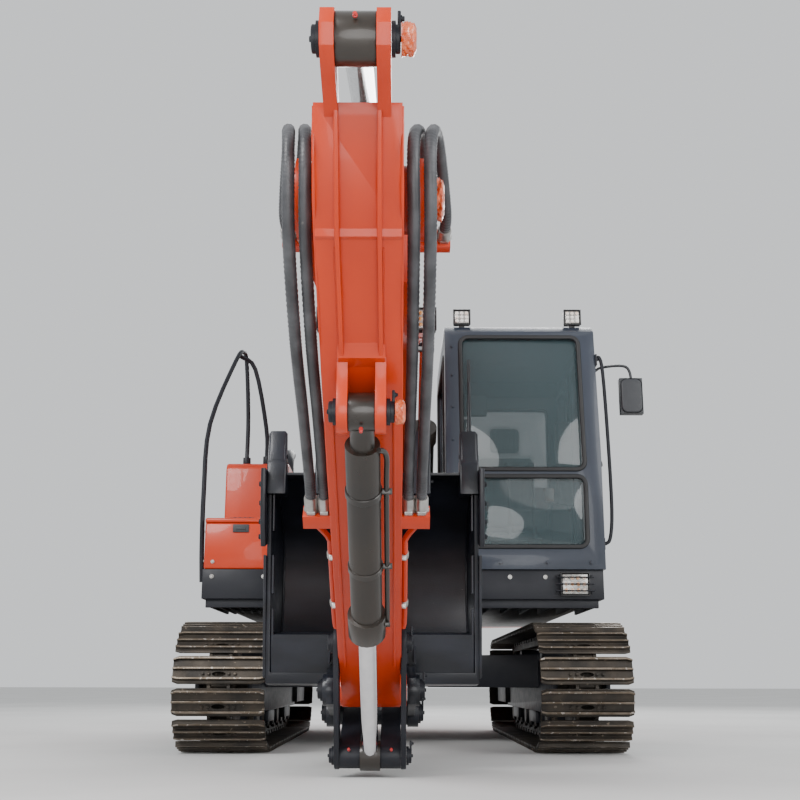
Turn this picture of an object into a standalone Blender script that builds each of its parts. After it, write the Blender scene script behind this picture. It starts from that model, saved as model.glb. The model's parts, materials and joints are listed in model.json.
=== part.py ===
"""Crawler excavator of the 22 t class, parked with its arm drawn in and its bucket curled.

Metres, +Z up. The machine faces -Y, its left side (cab) is +X, and the ground is z = 0.
Shapes are laid out about the swing axis, and each node is then moved by SHIFT, so that the
middle of the machine's footprint is the origin.
"""
import math

import bmesh
import bpy
from mathutils import Matrix, Vector

# ---------------------------------------------------------------- driving dimensions
FIT = 0.0003            # gap between pieces that touch
PIN_GAP = 0.0006        # gap between the faces of two pieces at a pin
RUN_GAP = 0.006         # gap between moving pieces away from their pins
SHIFT = (-0.105, 1.835, 0.0)    # from the swing axis to the middle of the footprint
SMOOTH_ANGLE = math.radians(35)

# tracks
GAUGE = 2.382
SHOE_WIDTH = 0.60
TUMBLER_DISTANCE = 3.43
TRACK_RADIUS = 0.43     # over the grousers
GROUSER = 0.024
SHOE_PLATE = 0.018
CHAIN_DEPTH = 0.080
CHAIN_WIDTH = 0.16
SHOES_STRAIGHT = 18     # shoes along each straight run
SHOES_ROUND = 6         # shoes round each end
WHEEL_SIDES = 24
RAIL_HALF = 0.19
RAIL_BOTTOM = 0.25
RAIL_TOP = 0.60
RAIL_LENGTH = 2.64
ROLLER_RADIUS = 0.09
ROLLER_COUNT = 8

# undercarriage centre and swing bearing
BODY_BOTTOM = 0.43
BODY_TOP = 0.90
LEG_BOTTOM = 0.42
LEG_TOP = 0.66
LEG_REACH = 0.90        # how far fore and aft the legs meet the rails
BEARING_RADIUS = 0.60
BEARING_BORE = 0.42

# revolving frame
DECK_BOTTOM = 1.00
DECK_TOP = 1.20
DECK_PLATE = 0.03
UPPER_HALF = 1.36
DECK_FRONT = -1.91
DECK_REAR = 1.94
SLOT_REAR = -0.86       # the middle of the deck is open ahead of this
SLOT_LEFT = 0.285       # inner edge of the cab deck
SLOT_RIGHT = -0.86      # inner edge of the tank deck
BOOM_X = -0.17          # middle plane of boom, arm and bucket

# boom, side view points are (y, z)
BOOM_FOOT = (-0.05, 1.82)
ARM_PIN = (-5.77, 2.16)
BOOM_HALF = 0.21
BOOM_FORK_HALF = 0.232
FOOT_RADIUS = 0.125
LIFT_BASE = (-0.62, 1.24)
LIFT_PIN_REACH = 2.60   # boom foot to lift-cylinder pin
LIFT_PIN_ANGLE = 18.4   # of that line above level, degrees
LIFT_OFFSET = 0.315     # lift cylinders either side of the boom plane
LIFT_TUBE_RADIUS = 0.075
LIFT_ROD_RADIUS = 0.042
LIFT_TUBE_LENGTH = 1.60
LIFT_STROKE = (0.56, 0.70)      # in and out from where the rod is parked
ARM_BASE = (-2.95, 3.36)

# arm, local points are (along, out): along runs from the arm pin to the bucket pin
ARM_LENGTH = 2.79
ARM_ANGLE = -38.6
ARM_HALF = 0.1475
ARM_BOSS_HALF = 0.182
ARM_TAIL_PIN = (-0.66, 0.20)
ARM_TUBE_RADIUS = 0.080
ARM_ROD_RADIUS = 0.048
ARM_TUBE_LENGTH = 2.10
ARM_STROKE = (1.15, 0.0)

# bucket cylinder and links
CURL_BASE = (0.65, 0.42)
CURL_TUBE_RADIUS = 0.068
CURL_ROD_RADIUS = 0.040
CURL_TUBE_LENGTH = 1.28
CURL_STROKE = (0.86, 0.0)
GUIDE_PIN = (2.39, 0.03)
EAR_REACH = 0.38
EAR_ANGLE = -20.0
LINK_PIN = (2.891, 0.323)
GUIDE_PLATE = 0.026

# hoses beside the arm: where they end, measured from the arm pin along the boom and the arm
HOSE_RADIUS = 0.024
HOSE_START = -0.60
HOSE_END = 1.40

# bucket
BUCKET_HALF = 0.57
BUCKET_WALL = 0.022
EAR_IN = 0.188
EAR_OUT = 0.228

# cab
CAB_RIGHT = 0.30
CAB_LEFT = 1.375
CAB_FRONT = -1.93
CAB_REAR = -0.22
CAB_TOP = 2.98
CAB_WALL = 0.06
WINDSCREEN_X = (0.415, 1.255)
UPPER_GLASS_Z = (1.892, 2.872)
LOWER_GLASS_Z = (1.357, 1.835)
DOOR_Y = (-1.72, -0.86)
DOOR_Z = (1.27, 2.86)
GLASS = 0.008

# rear superstructure
COUNTER_FRONT = DECK_REAR + FIT
COUNTER_RADIUS = 2.84
HOUSE_TOP = 2.06

SHEET = 0.03
DOOR_MARGIN = 0.07
LEFT_HOUSE_FRONT = CAB_REAR + 0.05
LEFT_HOUSE_INNER = 0.29
RIGHT_HOUSE_INNER = -0.86
TOOL_FRONT = -1.90
TOOL_REAR = -1.22
FUEL_REAR = -0.46
HYDRAULIC_REAR = 0.28
TOOL_TOP = 1.55
TANK_TOP = 2.07
HOOD_FRONT = 0.96
HOOD_REAR = 1.93
HOOD_HEIGHT = 0.11

# door hinges: barrels on an upright axis just outside the panel
HINGE_RADIUS = 0.013
HINGE_OUT = 0.018
HINGE_BACK = 0.022      # axis behind the door opening's edge
HINGE_HEIGHT = 0.05
DOOR_HINGES = (1.42, 1.80)
CAB_HINGES = (1.55, 2.55)

COLOURS = {
    "orange": ((0.62, 0.075, 0.008, 1), 0.35, 0.0),
    "orange_plate": ((0.60, 0.070, 0.008, 1), 0.4, 0.0),
    "cab_grey": ((0.045, 0.052, 0.068, 1), 0.4, 0.0),
    "black": ((0.012, 0.012, 0.014, 1), 0.45, 0.0),
    "bucket_black": ((0.010, 0.010, 0.013, 1), 0.35, 0.2),
    "track_steel": ((0.035, 0.031, 0.028, 1), 0.55, 0.8),
    "cylinder_black": ((0.035, 0.028, 0.022, 1), 0.35, 0.3),
    "chrome": ((0.75, 0.75, 0.76, 1), 0.12, 1.0),
    "glass": ((0.55, 0.65, 0.68, 1), 0.05, 0.0),
    "seat": ((0.03, 0.04, 0.045, 1), 0.7, 0.0),
    "lamp": ((0.25, 0.24, 0.22, 1), 0.3, 0.2),
    "rubber": ((0.02, 0.02, 0.022, 1), 0.6, 0.0),
}


def clear_scene():
    for old in list(bpy.data.objects):
        bpy.data.objects.remove(old, do_unlink=True)


def paint(node, finish):
    colour, roughness, metallic = COLOURS[finish]
    material = bpy.data.materials.new(node.name + "_" + finish)
    material.use_nodes = True
    shader = material.node_tree.nodes["Principled BSDF"]
    shader.inputs["Base Color"].default_value = colour
    shader.inputs["Roughness"].default_value = roughness
    shader.inputs["Metallic"].default_value = metallic
    node.data.materials.clear()
    node.data.materials.append(material)


# ---------------------------------------------------------------- primitive shapes
def link_mesh(bm, name="shape"):
    bmesh.ops.recalc_face_normals(bm, faces=bm.faces)
    mesh = bpy.data.meshes.new(name)
    bm.to_mesh(mesh)
    bm.free()
    shape = bpy.data.objects.new(name, mesh)
    bpy.context.collection.objects.link(shape)
    return shape


def extrude(outline, shift):
    """Closed prism: the outline's points (3-D) moved along shift."""
    bm = bmesh.new()
    low = [bm.verts.new(p) for p in outline]
    high = [bm.verts.new(Vector(p) + Vector(shift)) for p in outline]
    bm.faces.new(low)
    bm.faces.new(high[::-1])
    for i, a in enumerate(low):
        j = (i + 1) % len(low)
        bm.faces.new((a, high[i], high[j], low[j]))
    return link_mesh(bm)


def plate(side, x0, x1):
    """Side-view outline of (y, z) points, from x0 to x1."""
    return extrude([(x0, y, z) for y, z in side], (x1 - x0, 0, 0))


def slab(plan, z0, z1):
    """Plan outline of (x, y) points, from z0 to z1."""
    return extrude([(x, y, z0) for x, y in plan], (0, 0, z1 - z0))


def front(face, y0, y1):
    """Front-view outline of (x, z) points, from y0 to y1."""
    return extrude([(x, y0, z) for x, z in face], (0, y1 - y0, 0))


def box(x0, x1, y0, y1, z0, z1):
    return slab([(x0, y0), (x1, y0), (x1, y1), (x0, y1)], z0, z1)


def rod(start, end, radius, sides=20):
    """Closed cylinder between two 3-D points."""
    start, end = Vector(start), Vector(end)
    axis = (end - start).normalized()
    helper = Vector((1, 0, 0)) if abs(axis.x) < 0.9 else Vector((0, 0, 1))
    across = axis.cross(helper).normalized()
    up = axis.cross(across)
    ring = []
    for i in range(sides):
        a = 2 * math.pi * i / sides
        ring.append(start + radius * (math.cos(a) * across + math.sin(a) * up))
    return extrude(ring, end - start)


def disc(centre, x0, x1, radius, sides=20):
    """Cylinder along X about a (y, z) centre."""
    ring = [polar(centre, radius, 360.0 * i / sides) for i in range(sides)]
    return plate(ring, x0, x1)


def polar(centre, radius, degrees):
    a = math.radians(degrees)
    return (centre[0] + radius * math.cos(a), centre[1] + radius * math.sin(a))


def arc(centre, radius, start, end, steps):
    return [polar(centre, radius, start + (end - start) * i / steps) for i in range(steps + 1)]


def rounded(x0, x1, z0, z1, radius, steps=3):
    """Rectangle with round corners, as a list of 2-D points."""
    corners = (((x1 - radius, z0 + radius), -90), ((x1 - radius, z1 - radius), 0),
               ((x0 + radius, z1 - radius), 90), ((x0 + radius, z0 + radius), 180))
    return [p for centre, a in corners for p in arc(centre, radius, a, a + 90, steps)]


def pipe(points, radius, sides=8):
    """Tube along a smooth curve through the given points, as a closed mesh."""
    curve = bpy.data.curves.new("pipe", "CURVE")
    curve.dimensions = "3D"
    curve.bevel_depth = radius
    curve.bevel_resolution = (sides - 4) // 2
    curve.use_fill_caps = True
    spline = curve.splines.new("POLY")
    spline.points.add(len(points) - 1)
    for target, p in zip(spline.points, points):
        target.co = (*p, 1)
    holder = bpy.data.objects.new("pipe", curve)
    bpy.context.collection.objects.link(holder)
    bm = bmesh.new()
    bm.from_mesh(evaluated_mesh(holder))
    bmesh.ops.remove_doubles(bm, verts=bm.verts, dist=0.00001)
    bpy.data.objects.remove(holder, do_unlink=True)
    return link_mesh(bm)


def smooth_path(points, steps):
    """Catmull-Rom curve through the points, steps samples to a span."""
    path = [Vector(p) for p in points]
    path = [2 * path[0] - path[1]] + path + [2 * path[-1] - path[-2]]
    out = []
    for a, b, c, d in zip(path, path[1:], path[2:], path[3:]):
        for i in range(steps):
            t = i / steps
            out.append(0.5 * (2 * b + (c - a) * t + (2 * a - 5 * b + 4 * c - d) * t * t
                              + (3 * b - a - 3 * c + d) * t ** 3))
    out.append(path[-2])
    return out


# ---------------------------------------------------------------- joining shapes
def evaluated_mesh(shape):
    graph = bpy.context.evaluated_depsgraph_get()
    return bpy.data.meshes.new_from_object(shape.evaluated_get(graph))


def combine(base, tool, operation):
    step = base.modifiers.new(operation, "BOOLEAN")
    step.operation = operation
    step.solver = "EXACT"
    step.object = tool
    mesh = evaluated_mesh(base)
    base.modifiers.clear()
    base.data = mesh
    bpy.data.objects.remove(tool, do_unlink=True)


def solid(name, finish, add, cut=(), late=(), pivot=(0, 0, 0)):
    """One node: the shapes in add joined, less those in cut, then joined to those in late."""
    base = add[0]
    for tool in add[1:]:
        combine(base, tool, "UNION")
    for tool in cut:
        combine(base, tool, "DIFFERENCE")
    for tool in late:
        combine(base, tool, "UNION")
    mesh = base.data
    pivot = Vector(pivot)
    mesh.transform(Matrix.Translation(-pivot))
    node = bpy.data.objects.new(name, mesh)
    mesh.name = name
    bpy.context.collection.objects.link(node)
    node.location = pivot + Vector(SHIFT)
    bpy.data.objects.remove(base, do_unlink=True)
    mesh.shade_smooth()
    mesh.set_sharp_from_angle(angle=SMOOTH_ANGLE)
    paint(node, finish)
    return node


# ---------------------------------------------------------------- side-view frames
def arm_point(along, out):
    """World (y, z) of a point given along and out from the arm's pin line."""
    a = math.radians(ARM_ANGLE)
    along_y, along_z = math.cos(a), math.sin(a)
    return (ARM_PIN[0] + along * along_y + out * along_z,
            ARM_PIN[1] + along * along_z - out * along_y)


def arm_points(local):
    return [arm_point(*p) for p in local]


def boom_point(along, above):
    """World (y, z) of a point given along and above the boom's pin line."""
    dy, dz = ARM_PIN[0] - BOOM_FOOT[0], ARM_PIN[1] - BOOM_FOOT[1]
    length = math.hypot(dy, dz)
    ty, tz = dy / length, dz / length
    return (BOOM_FOOT[0] + along * ty + above * tz, BOOM_FOOT[1] + along * tz - above * ty)


BUCKET_PIN = arm_point(ARM_LENGTH, 0)
BOOM_LENGTH = math.hypot(ARM_PIN[0] - BOOM_FOOT[0], ARM_PIN[1] - BOOM_FOOT[1])
LIFT_PIN = (BOOM_FOOT[0] - LIFT_PIN_REACH * math.cos(math.radians(LIFT_PIN_ANGLE)),
            BOOM_FOOT[1] + LIFT_PIN_REACH * math.sin(math.radians(LIFT_PIN_ANGLE)))


# ---------------------------------------------------------------- undercarriage
def loop_outline(outer, grousers):
    """Side outline of the track loop at a radius, with a ridge on each shoe if asked."""
    half = TUMBLER_DISTANCE / 2
    middle = TRACK_RADIUS
    base = []
    steps = SHOES_STRAIGHT
    for i in range(steps):
        base.append(((-half + 2 * half * i / steps, middle - outer), (0, -1)))
    for i in range(SHOES_ROUND * 2):
        a = -90 + 180.0 * i / (SHOES_ROUND * 2)
        base.append((polar((half, middle), outer, a), polar((0, 0), 1, a)))
    for i in range(steps):
        base.append(((half - 2 * half * i / steps, middle + outer), (0, 1)))
    for i in range(SHOES_ROUND * 2):
        a = 90 + 180.0 * i / (SHOES_ROUND * 2)
        base.append((polar((-half, middle), outer, a), polar((0, 0), 1, a)))
    if not grousers:
        return [p for p, _ in base]
    outline = []
    for i, (p, n) in enumerate(base):
        q, m = base[(i + 1) % len(base)]
        outline.append((p[0], p[1]))
        for share in (0.40, 0.60):
            y = p[0] + (q[0] - p[0]) * share
            z = p[1] + (q[1] - p[1]) * share
            ny, nz = n[0] + m[0], n[1] + m[1]
            size = math.hypot(ny, nz)
            outline.append((y + GROUSER * ny / size, z + GROUSER * nz / size))
    return outline


def make_track(name, x):
    shoe_out = TRACK_RADIUS - GROUSER
    shoe_in = shoe_out - SHOE_PLATE
    chain_in = shoe_in - CHAIN_DEPTH
    shoes = plate(loop_outline(shoe_out, True), x - SHOE_WIDTH / 2, x + SHOE_WIDTH / 2)
    hollow = plate(loop_outline(shoe_in, False), x - SHOE_WIDTH, x + SHOE_WIDTH)
    combine(shoes, hollow, "DIFFERENCE")
    chain = plate(loop_outline(shoe_in + SHOE_PLATE / 2, False), x - CHAIN_WIDTH / 2, x + CHAIN_WIDTH / 2)
    core = plate(loop_outline(chain_in, False), x - CHAIN_WIDTH, x + CHAIN_WIDTH)
    combine(chain, core, "DIFFERENCE")
    solid(name, "track_steel", [shoes, chain])
    return chain_in


def make_undercarriage_side(side, x, inward):
    chain_in = make_track(side + "_track", x)
    half = TUMBLER_DISTANCE / 2
    wheel = chain_in - 0.002
    front_y, rear_y = -half, half
    rail_half_length = RAIL_LENGTH / 2
    centre = TRACK_RADIUS
    wheel_ring = [polar((front_y, centre), wheel, 360.0 * i / WHEEL_SIDES) for i in range(WHEEL_SIDES)]
    arm_in, arm_out = RAIL_HALF - 0.03, RAIL_HALF
    axle = arm_in - FIT
    solid(side + "_idler", "track_steel", [
        plate(wheel_ring, x - 0.065, x + 0.065),
        disc((front_y, centre), x - axle, x + axle, 0.055),
    ])
    hub_in, hub_out = -RAIL_HALF + FIT, 0.17
    ring = [polar((rear_y, centre), wheel, 360.0 * i / WHEEL_SIDES) for i in range(WHEEL_SIDES)]
    ends = sorted((x + inward * -hub_in, x - inward * hub_out))
    solid(side + "_sprocket", "track_steel", [
        plate(ring, x - 0.035, x + 0.035),
        disc((rear_y, centre), ends[0], ends[1], 0.17),
    ])
    rail = [box(x - RAIL_HALF, x + RAIL_HALF, -rail_half_length, rail_half_length, RAIL_BOTTOM, RAIL_TOP)]
    for s in (-1, 1):
        low, high = sorted((x + s * arm_in, x + s * arm_out))
        rail.append(box(low, high, front_y - 0.16, -rail_half_length + 0.05, centre - 0.10, centre + 0.10))
    low, high = sorted((x + inward * RAIL_HALF, x + inward * (RAIL_HALF + 0.04)))
    rail.append(box(low, high, rail_half_length - 0.20, rear_y + 0.20, centre - 0.15, centre + 0.15))
    roller_z = TRACK_RADIUS - chain_in + FIT + ROLLER_RADIUS
    span = RAIL_LENGTH - 0.30
    for i in range(ROLLER_COUNT):
        y = -span / 2 + span * i / (ROLLER_COUNT - 1)
        rail.append(disc((y, roller_z), x - 0.15, x + 0.15, ROLLER_RADIUS, 12))
    for y in (-0.72, 0.72):
        top = TRACK_RADIUS + chain_in - FIT
        rail.append(disc((y, top - 0.075), x - 0.12, x + 0.12, 0.075, 12))
        rail.append(box(x - 0.03, x + 0.03, y - 0.05, y + 0.05, RAIL_TOP - 0.05, top - 0.05))
    solid(side + "_track_frame", "black", rail)


def make_car_body():
    reach = GAUGE / 2 - RAIL_HALF - FIT
    shapes = [slab([(-0.56, -0.40), (-0.40, -0.62), (0.40, -0.62), (0.56, -0.40),
                    (0.56, 0.40), (0.40, 0.62), (-0.40, 0.62), (-0.56, 0.40)], BODY_BOTTOM, BODY_TOP)]
    for sx in (-1, 1):
        for sy in (-1, 1):
            leg = [(sx * reach, sy * (LEG_REACH + 0.18)), (sx * reach, sy * (LEG_REACH - 0.18)),
                   (sx * 0.42, sy * 0.20), (sx * 0.20, sy * 0.42)]
            shapes.append(slab(leg, LEG_BOTTOM, LEG_TOP))
    solid("car_body", "black", shapes)


def make_bearing():
    ring = [(BEARING_RADIUS * math.cos(math.radians(a)), BEARING_RADIUS * math.sin(math.radians(a)))
            for a in range(0, 360, 10)]
    bore = [(x * BEARING_BORE / BEARING_RADIUS, y * BEARING_BORE / BEARING_RADIUS) for x, y in ring]
    body = slab(ring, BODY_TOP + FIT, DECK_BOTTOM - PIN_GAP)
    solid("swing_bearing", "black", [body], [slab(bore, BODY_TOP - 0.1, DECK_BOTTOM + 0.1)])


# ---------------------------------------------------------------- revolving frame
def deck_ring(x0, x1, y0, y1):
    """A deck plate with a skirt round it and two ribs under it."""
    shapes = [box(x0, x1, y0, y1, DECK_TOP - DECK_PLATE, DECK_TOP)]
    wall = 0.03
    chamfer = 0.07
    lips = [(x0, x0 + wall, y0, y1), (x1 - wall, x1, y0, y1),
            (x0, x1, y0, y0 + wall), (x0, x1, y1 - wall, y1)]
    for a, b, c, d in lips:
        shapes.append(box(a, b, c, d, DECK_BOTTOM, DECK_TOP - DECK_PLATE / 2))
    for share in (0.33, 0.66):
        y = y0 + (y1 - y0) * share
        shapes.append(box(x0 + wall / 2, x1 - wall / 2, y, y + wall, DECK_BOTTOM + chamfer, DECK_TOP - 0.01))
    return shapes


def make_revolving_frame():
    shapes = deck_ring(SLOT_LEFT, UPPER_HALF, DECK_FRONT, DECK_REAR)
    shapes += deck_ring(-UPPER_HALF, SLOT_RIGHT, DECK_FRONT, DECK_REAR)
    shapes.append(box(-UPPER_HALF + 0.01, UPPER_HALF - 0.01, SLOT_REAR, DECK_REAR - 0.01,
                      DECK_BOTTOM, DECK_BOTTOM + 0.04))
    bracket_in = BOOM_HALF + 0.012 + PIN_GAP
    bracket_out = bracket_in + 0.05
    foot = BOOM_FOOT
    cheek = [(SLOT_REAR + 0.05, DECK_BOTTOM + 0.02), (SLOT_REAR + 0.05, DECK_BOTTOM + 0.07),
             (-0.33, DECK_TOP + 0.02)]
    cheek += arc(foot, 0.17, 170, 10, 6)
    cheek += [(0.55, DECK_TOP + 0.10), (DECK_REAR - 0.05, DECK_TOP + 0.02),
              (DECK_REAR - 0.05, DECK_BOTTOM + 0.02)]
    for s in (-1, 1):
        low, high = sorted((BOOM_X + s * bracket_in, BOOM_X + s * bracket_out))
        shapes.append(plate(cheek, low, high))
        outer = BOOM_X + s * (bracket_out + 0.03)
        inner = BOOM_X + s * (bracket_out - 0.01)
        low, high = sorted((outer, inner))
        shapes.append(disc(foot, low, high, 0.075))
    lug = arc(LIFT_BASE, 0.085, 180, 0, 6)
    lug += [(LIFT_BASE[0] + 0.10, DECK_BOTTOM + 0.02), (LIFT_BASE[0] - 0.10, DECK_BOTTOM + 0.02)]
    gap = 0.055 + PIN_GAP
    for s in (-1, 1):
        middle = BOOM_X + s * LIFT_OFFSET
        for t in (-1, 1):
            low, high = sorted((middle + t * gap, middle + t * (gap + 0.022)))
            shapes.append(plate(lug, low, high))
    solid("revolving_frame", "black", shapes)


def make_counterweight():
    rear = []
    half_angle = math.degrees(math.asin(UPPER_HALF / COUNTER_RADIUS))
    for i in range(13):
        a = -half_angle + 2 * half_angle * i / 12
        rear.append((COUNTER_RADIUS * math.sin(math.radians(a)), COUNTER_RADIUS * math.cos(math.radians(a))))
    plan = [(-UPPER_HALF, COUNTER_FRONT)] + rear + [(UPPER_HALF, COUNTER_FRONT)]
    body = slab(plan, DECK_BOTTOM + 0.02, HOUSE_TOP)
    solid("counterweight", "orange", [body])


def make_engine():
    solid("engine_block", "black", [
        box(-0.78, 0.27, 1.02, 1.88, DECK_BOTTOM + 0.04 + FIT + 0.30, 1.90),
        box(-0.70, -0.48, 1.10, 1.80, DECK_BOTTOM + 0.04 + FIT, 1.60),
        box(0.12, 0.22, 1.10, 1.80, DECK_BOTTOM + 0.04 + FIT, 1.60),
    ])


def housing_knuckles(side, edge, way):
    """The housing's halves of its door's hinges, each under the door's own."""
    axis = (side * (UPPER_HALF + HINGE_OUT), edge + way * HINGE_BACK)
    strap = sorted((side * (UPPER_HALF + 0.003), side * (UPPER_HALF + 0.02)))
    pad = sorted((side * (UPPER_HALF - 0.01), side * (UPPER_HALF + 0.02)))
    shapes = []
    for z in DOOR_HINGES:
        run = sorted((edge - way * 0.03, edge + way * HINGE_BACK))
        shapes.append(knuckle(axis, z - HINGE_HEIGHT, z, (*strap, *run)))
        shapes.append(box(*pad, *sorted((edge - way * 0.05, edge - way * 0.005)), z - HINGE_HEIGHT, z))
    return shapes


def make_housings():
    """Sheet housings either side of the engine, open outward where their doors hang."""
    base = DECK_TOP + FIT
    wall = SHEET
    rear = DECK_REAR - FIT
    for name, side, inner, y0, way in (("left", 1, LEFT_HOUSE_INNER, LEFT_HOUSE_FRONT, -1),
                                       ("right", -1, RIGHT_HOUSE_INNER, HYDRAULIC_REAR + FIT, 1)):
        outer = side * UPPER_HALF
        door = (y0 + DOOR_MARGIN, rear - DOOR_MARGIN)
        shell = box(*sorted((inner, outer)), y0, rear, base, HOUSE_TOP)
        hollow = box(*sorted((inner + side * wall, outer + side * 0.1)), *door, base + wall, HOUSE_TOP - 0.10)
        edge, free = door if way > 0 else door[::-1]
        solid(name + "_housing", "orange_plate", [shell], [hollow], housing_knuckles(side, edge, way))
        make_side_door(name + "_side_door", side, edge, free, way)


def knuckle(axis, z0, z1, pad):
    """A hinge barrel about an upright axis at (x, y), with the strap that carries it.

    pad is the strap's (x0, x1, y0, y1).
    """
    barrel = rod((axis[0], axis[1], z0), (axis[0], axis[1], z1), HINGE_RADIUS, 12)
    combine(barrel, box(*pad, z0, z1), "UNION")
    return barrel


def make_side_door(name, side, edge, free, way):
    """A flush door in a housing's side, from its hinged edge to its free edge along Y.

    way is +1 where the door runs back from its hinge and -1 where it runs forward.
    """
    z0, z1 = DECK_TOP + 0.03 + RUN_GAP, HOUSE_TOP - 0.10 - RUN_GAP
    outer = side * UPPER_HALF
    low, high = sorted((outer, side * (UPPER_HALF - 0.03)))
    axis = (side * (UPPER_HALF + HINGE_OUT), edge + way * HINGE_BACK)
    skin = sorted((outer - side * 0.01, outer + side * 0.02))
    leaf = (*skin, *sorted((edge + way * HINGE_BACK, edge + way * 0.08)))
    shapes = [box(low, high, *sorted((edge + way * RUN_GAP, free - way * RUN_GAP)), z0, z1)]
    for z in DOOR_HINGES:
        shapes.append(knuckle(axis, z + PIN_GAP, z + HINGE_HEIGHT, leaf))
    shapes.append(box(*skin, *sorted((free - way * 0.12, free - way * 0.07)), 1.60, 1.72))
    solid(name, "orange_plate", shapes, pivot=(*axis, 1.6))


def make_hood():
    base = HOUSE_TOP + PIN_GAP
    cover = box(-0.93, 0.36, HOOD_FRONT, HOOD_REAR, base, base + HOOD_HEIGHT)
    hollow = box(-0.90, 0.33, HOOD_FRONT + 0.03, HOOD_REAR - 0.03, base - 0.1, base + HOOD_HEIGHT - 0.03)
    solid("engine_hood", "orange_plate", [cover], [hollow], pivot=(0, HOOD_FRONT, base))


def make_tanks():
    base = DECK_TOP + FIT
    wall = 0.012
    outer = [(TOOL_FRONT, base), (TOOL_FRONT, TOOL_TOP - 0.035), (TOOL_REAR, TOOL_TOP - 0.035), (TOOL_REAR, base)]
    body = plate(outer, -UPPER_HALF + 0.005, -0.865)
    inside = box(-UPPER_HALF + 0.005 + wall, -0.865 - wall, TOOL_FRONT + wall, TOOL_REAR - wall,
                 base + wall, TOOL_TOP + 0.1)
    solid("tool_box", "orange", [body], [inside])
    lid = box(-UPPER_HALF + 0.003, -0.863, TOOL_FRONT - 0.002, TOOL_REAR - RUN_GAP, TOOL_TOP - 0.035 + PIN_GAP,
              TOOL_TOP)
    solid("tool_box_lid", "orange", [lid], pivot=(-1.1, TOOL_REAR - 0.01, TOOL_TOP))
    fuel = [(TOOL_REAR + 0.004, base), (TOOL_REAR + 0.004, TANK_TOP - 0.06)]
    fuel += arc((TOOL_REAR + 0.064, TANK_TOP - 0.06), 0.06, 180, 90, 3)[1:]
    fuel += [(FUEL_REAR, TANK_TOP), (FUEL_REAR, base)]
    solid("fuel_tank", "orange", [plate(fuel, -1.335, -0.865)])
    solid("hydraulic_tank", "orange", [
        box(-UPPER_HALF + 0.005, -0.865, FUEL_REAR + FIT, HYDRAULIC_REAR, base, TANK_TOP - 0.005)])


# ---------------------------------------------------------------- cab
def make_cab():
    base = DECK_TOP + FIT
    shell = [(CAB_FRONT, base), (CAB_FRONT, 2.00), (CAB_FRONT + 0.11, CAB_TOP - 0.06),
             (CAB_FRONT + 0.20, CAB_TOP), (CAB_REAR - 0.10, CAB_TOP), (CAB_REAR, CAB_TOP - 0.10),
             (CAB_REAR, base)]
    w = CAB_WALL
    inside = [(CAB_FRONT + w, base + w), (CAB_FRONT + w, 2.00), (CAB_FRONT + 0.11 + w, CAB_TOP - 0.10),
              (CAB_FRONT + 0.20 + w, CAB_TOP - w), (CAB_REAR - 0.10 - w, CAB_TOP - w),
              (CAB_REAR - w, CAB_TOP - 0.10 - w), (CAB_REAR - w, base + w)]
    cuts = [
        plate(inside, CAB_RIGHT + w, CAB_LEFT - w),
        front(rounded(*WINDSCREEN_X, *UPPER_GLASS_Z, 0.05), CAB_FRONT - 0.2, CAB_FRONT + 0.35),
        front(rounded(*WINDSCREEN_X, *LOWER_GLASS_Z, 0.06), CAB_FRONT - 0.2, CAB_FRONT + 0.35),
        front(rounded(0.43, 1.24, 1.75, 2.72, 0.05), CAB_REAR - 0.3, CAB_REAR + 0.2),
        plate(rounded(-1.62, -0.44, 1.72, 2.80, 0.06), CAB_RIGHT - 0.2, CAB_RIGHT + 0.2),
        plate(rounded(*DOOR_Y, *DOOR_Z, 0.04), CAB_LEFT - 0.2, CAB_LEFT + 0.2),
        plate(rounded(DOOR_Y[1] + 0.09, CAB_REAR - 0.12, 1.78, 2.78, 0.05), CAB_LEFT - 0.2, CAB_LEFT + 0.2),
    ]
    axis = (CAB_LEFT + HINGE_OUT, DOOR_Y[1] - HINGE_BACK)
    knuckles = []
    strap = (CAB_LEFT + 0.003, CAB_LEFT + 0.02, axis[1], DOOR_Y[1] + 0.03)
    pad = (CAB_LEFT - 0.01, CAB_LEFT + 0.02, DOOR_Y[1] + 0.005, DOOR_Y[1] + 0.05)
    for z in CAB_HINGES:
        knuckles.append(knuckle(axis, z - HINGE_HEIGHT, z, strap))
        knuckles.append(box(*pad, z - HINGE_HEIGHT, z))
    solid("cab_frame", "cab_grey", [plate(shell, CAB_RIGHT, CAB_LEFT)], cuts, knuckles)
    door = rounded(DOOR_Y[0] + RUN_GAP, DOOR_Y[1] - RUN_GAP, DOOR_Z[0] + RUN_GAP, DOOR_Z[1] - RUN_GAP, 0.035)
    window = (DOOR_Y[0] + 0.08, DOOR_Y[1] - 0.08, DOOR_Z[0] + 0.20, DOOR_Z[1] - 0.08)
    leaves = [plate(door, CAB_LEFT - 0.04, CAB_LEFT)]
    leaf = (CAB_LEFT - 0.01, CAB_LEFT + 0.02, axis[1] - 0.06, axis[1])
    for z in CAB_HINGES:
        leaves.append(knuckle(axis, z + PIN_GAP, z + HINGE_HEIGHT, leaf))
    solid("cab_door", "cab_grey", leaves,
          [plate(rounded(*window, 0.06), CAB_LEFT - 0.2, CAB_LEFT + 0.2)], pivot=(*axis, 2.0))
    y0, y1, z0, z1 = window
    solid("door_window", "glass", [plate(rounded(y0 + FIT, y1 - FIT, z0 + FIT, z1 - FIT, 0.06),
                                         CAB_LEFT - 0.024, CAB_LEFT - 0.024 + GLASS)],
          pivot=(*axis, 2.0))


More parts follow.
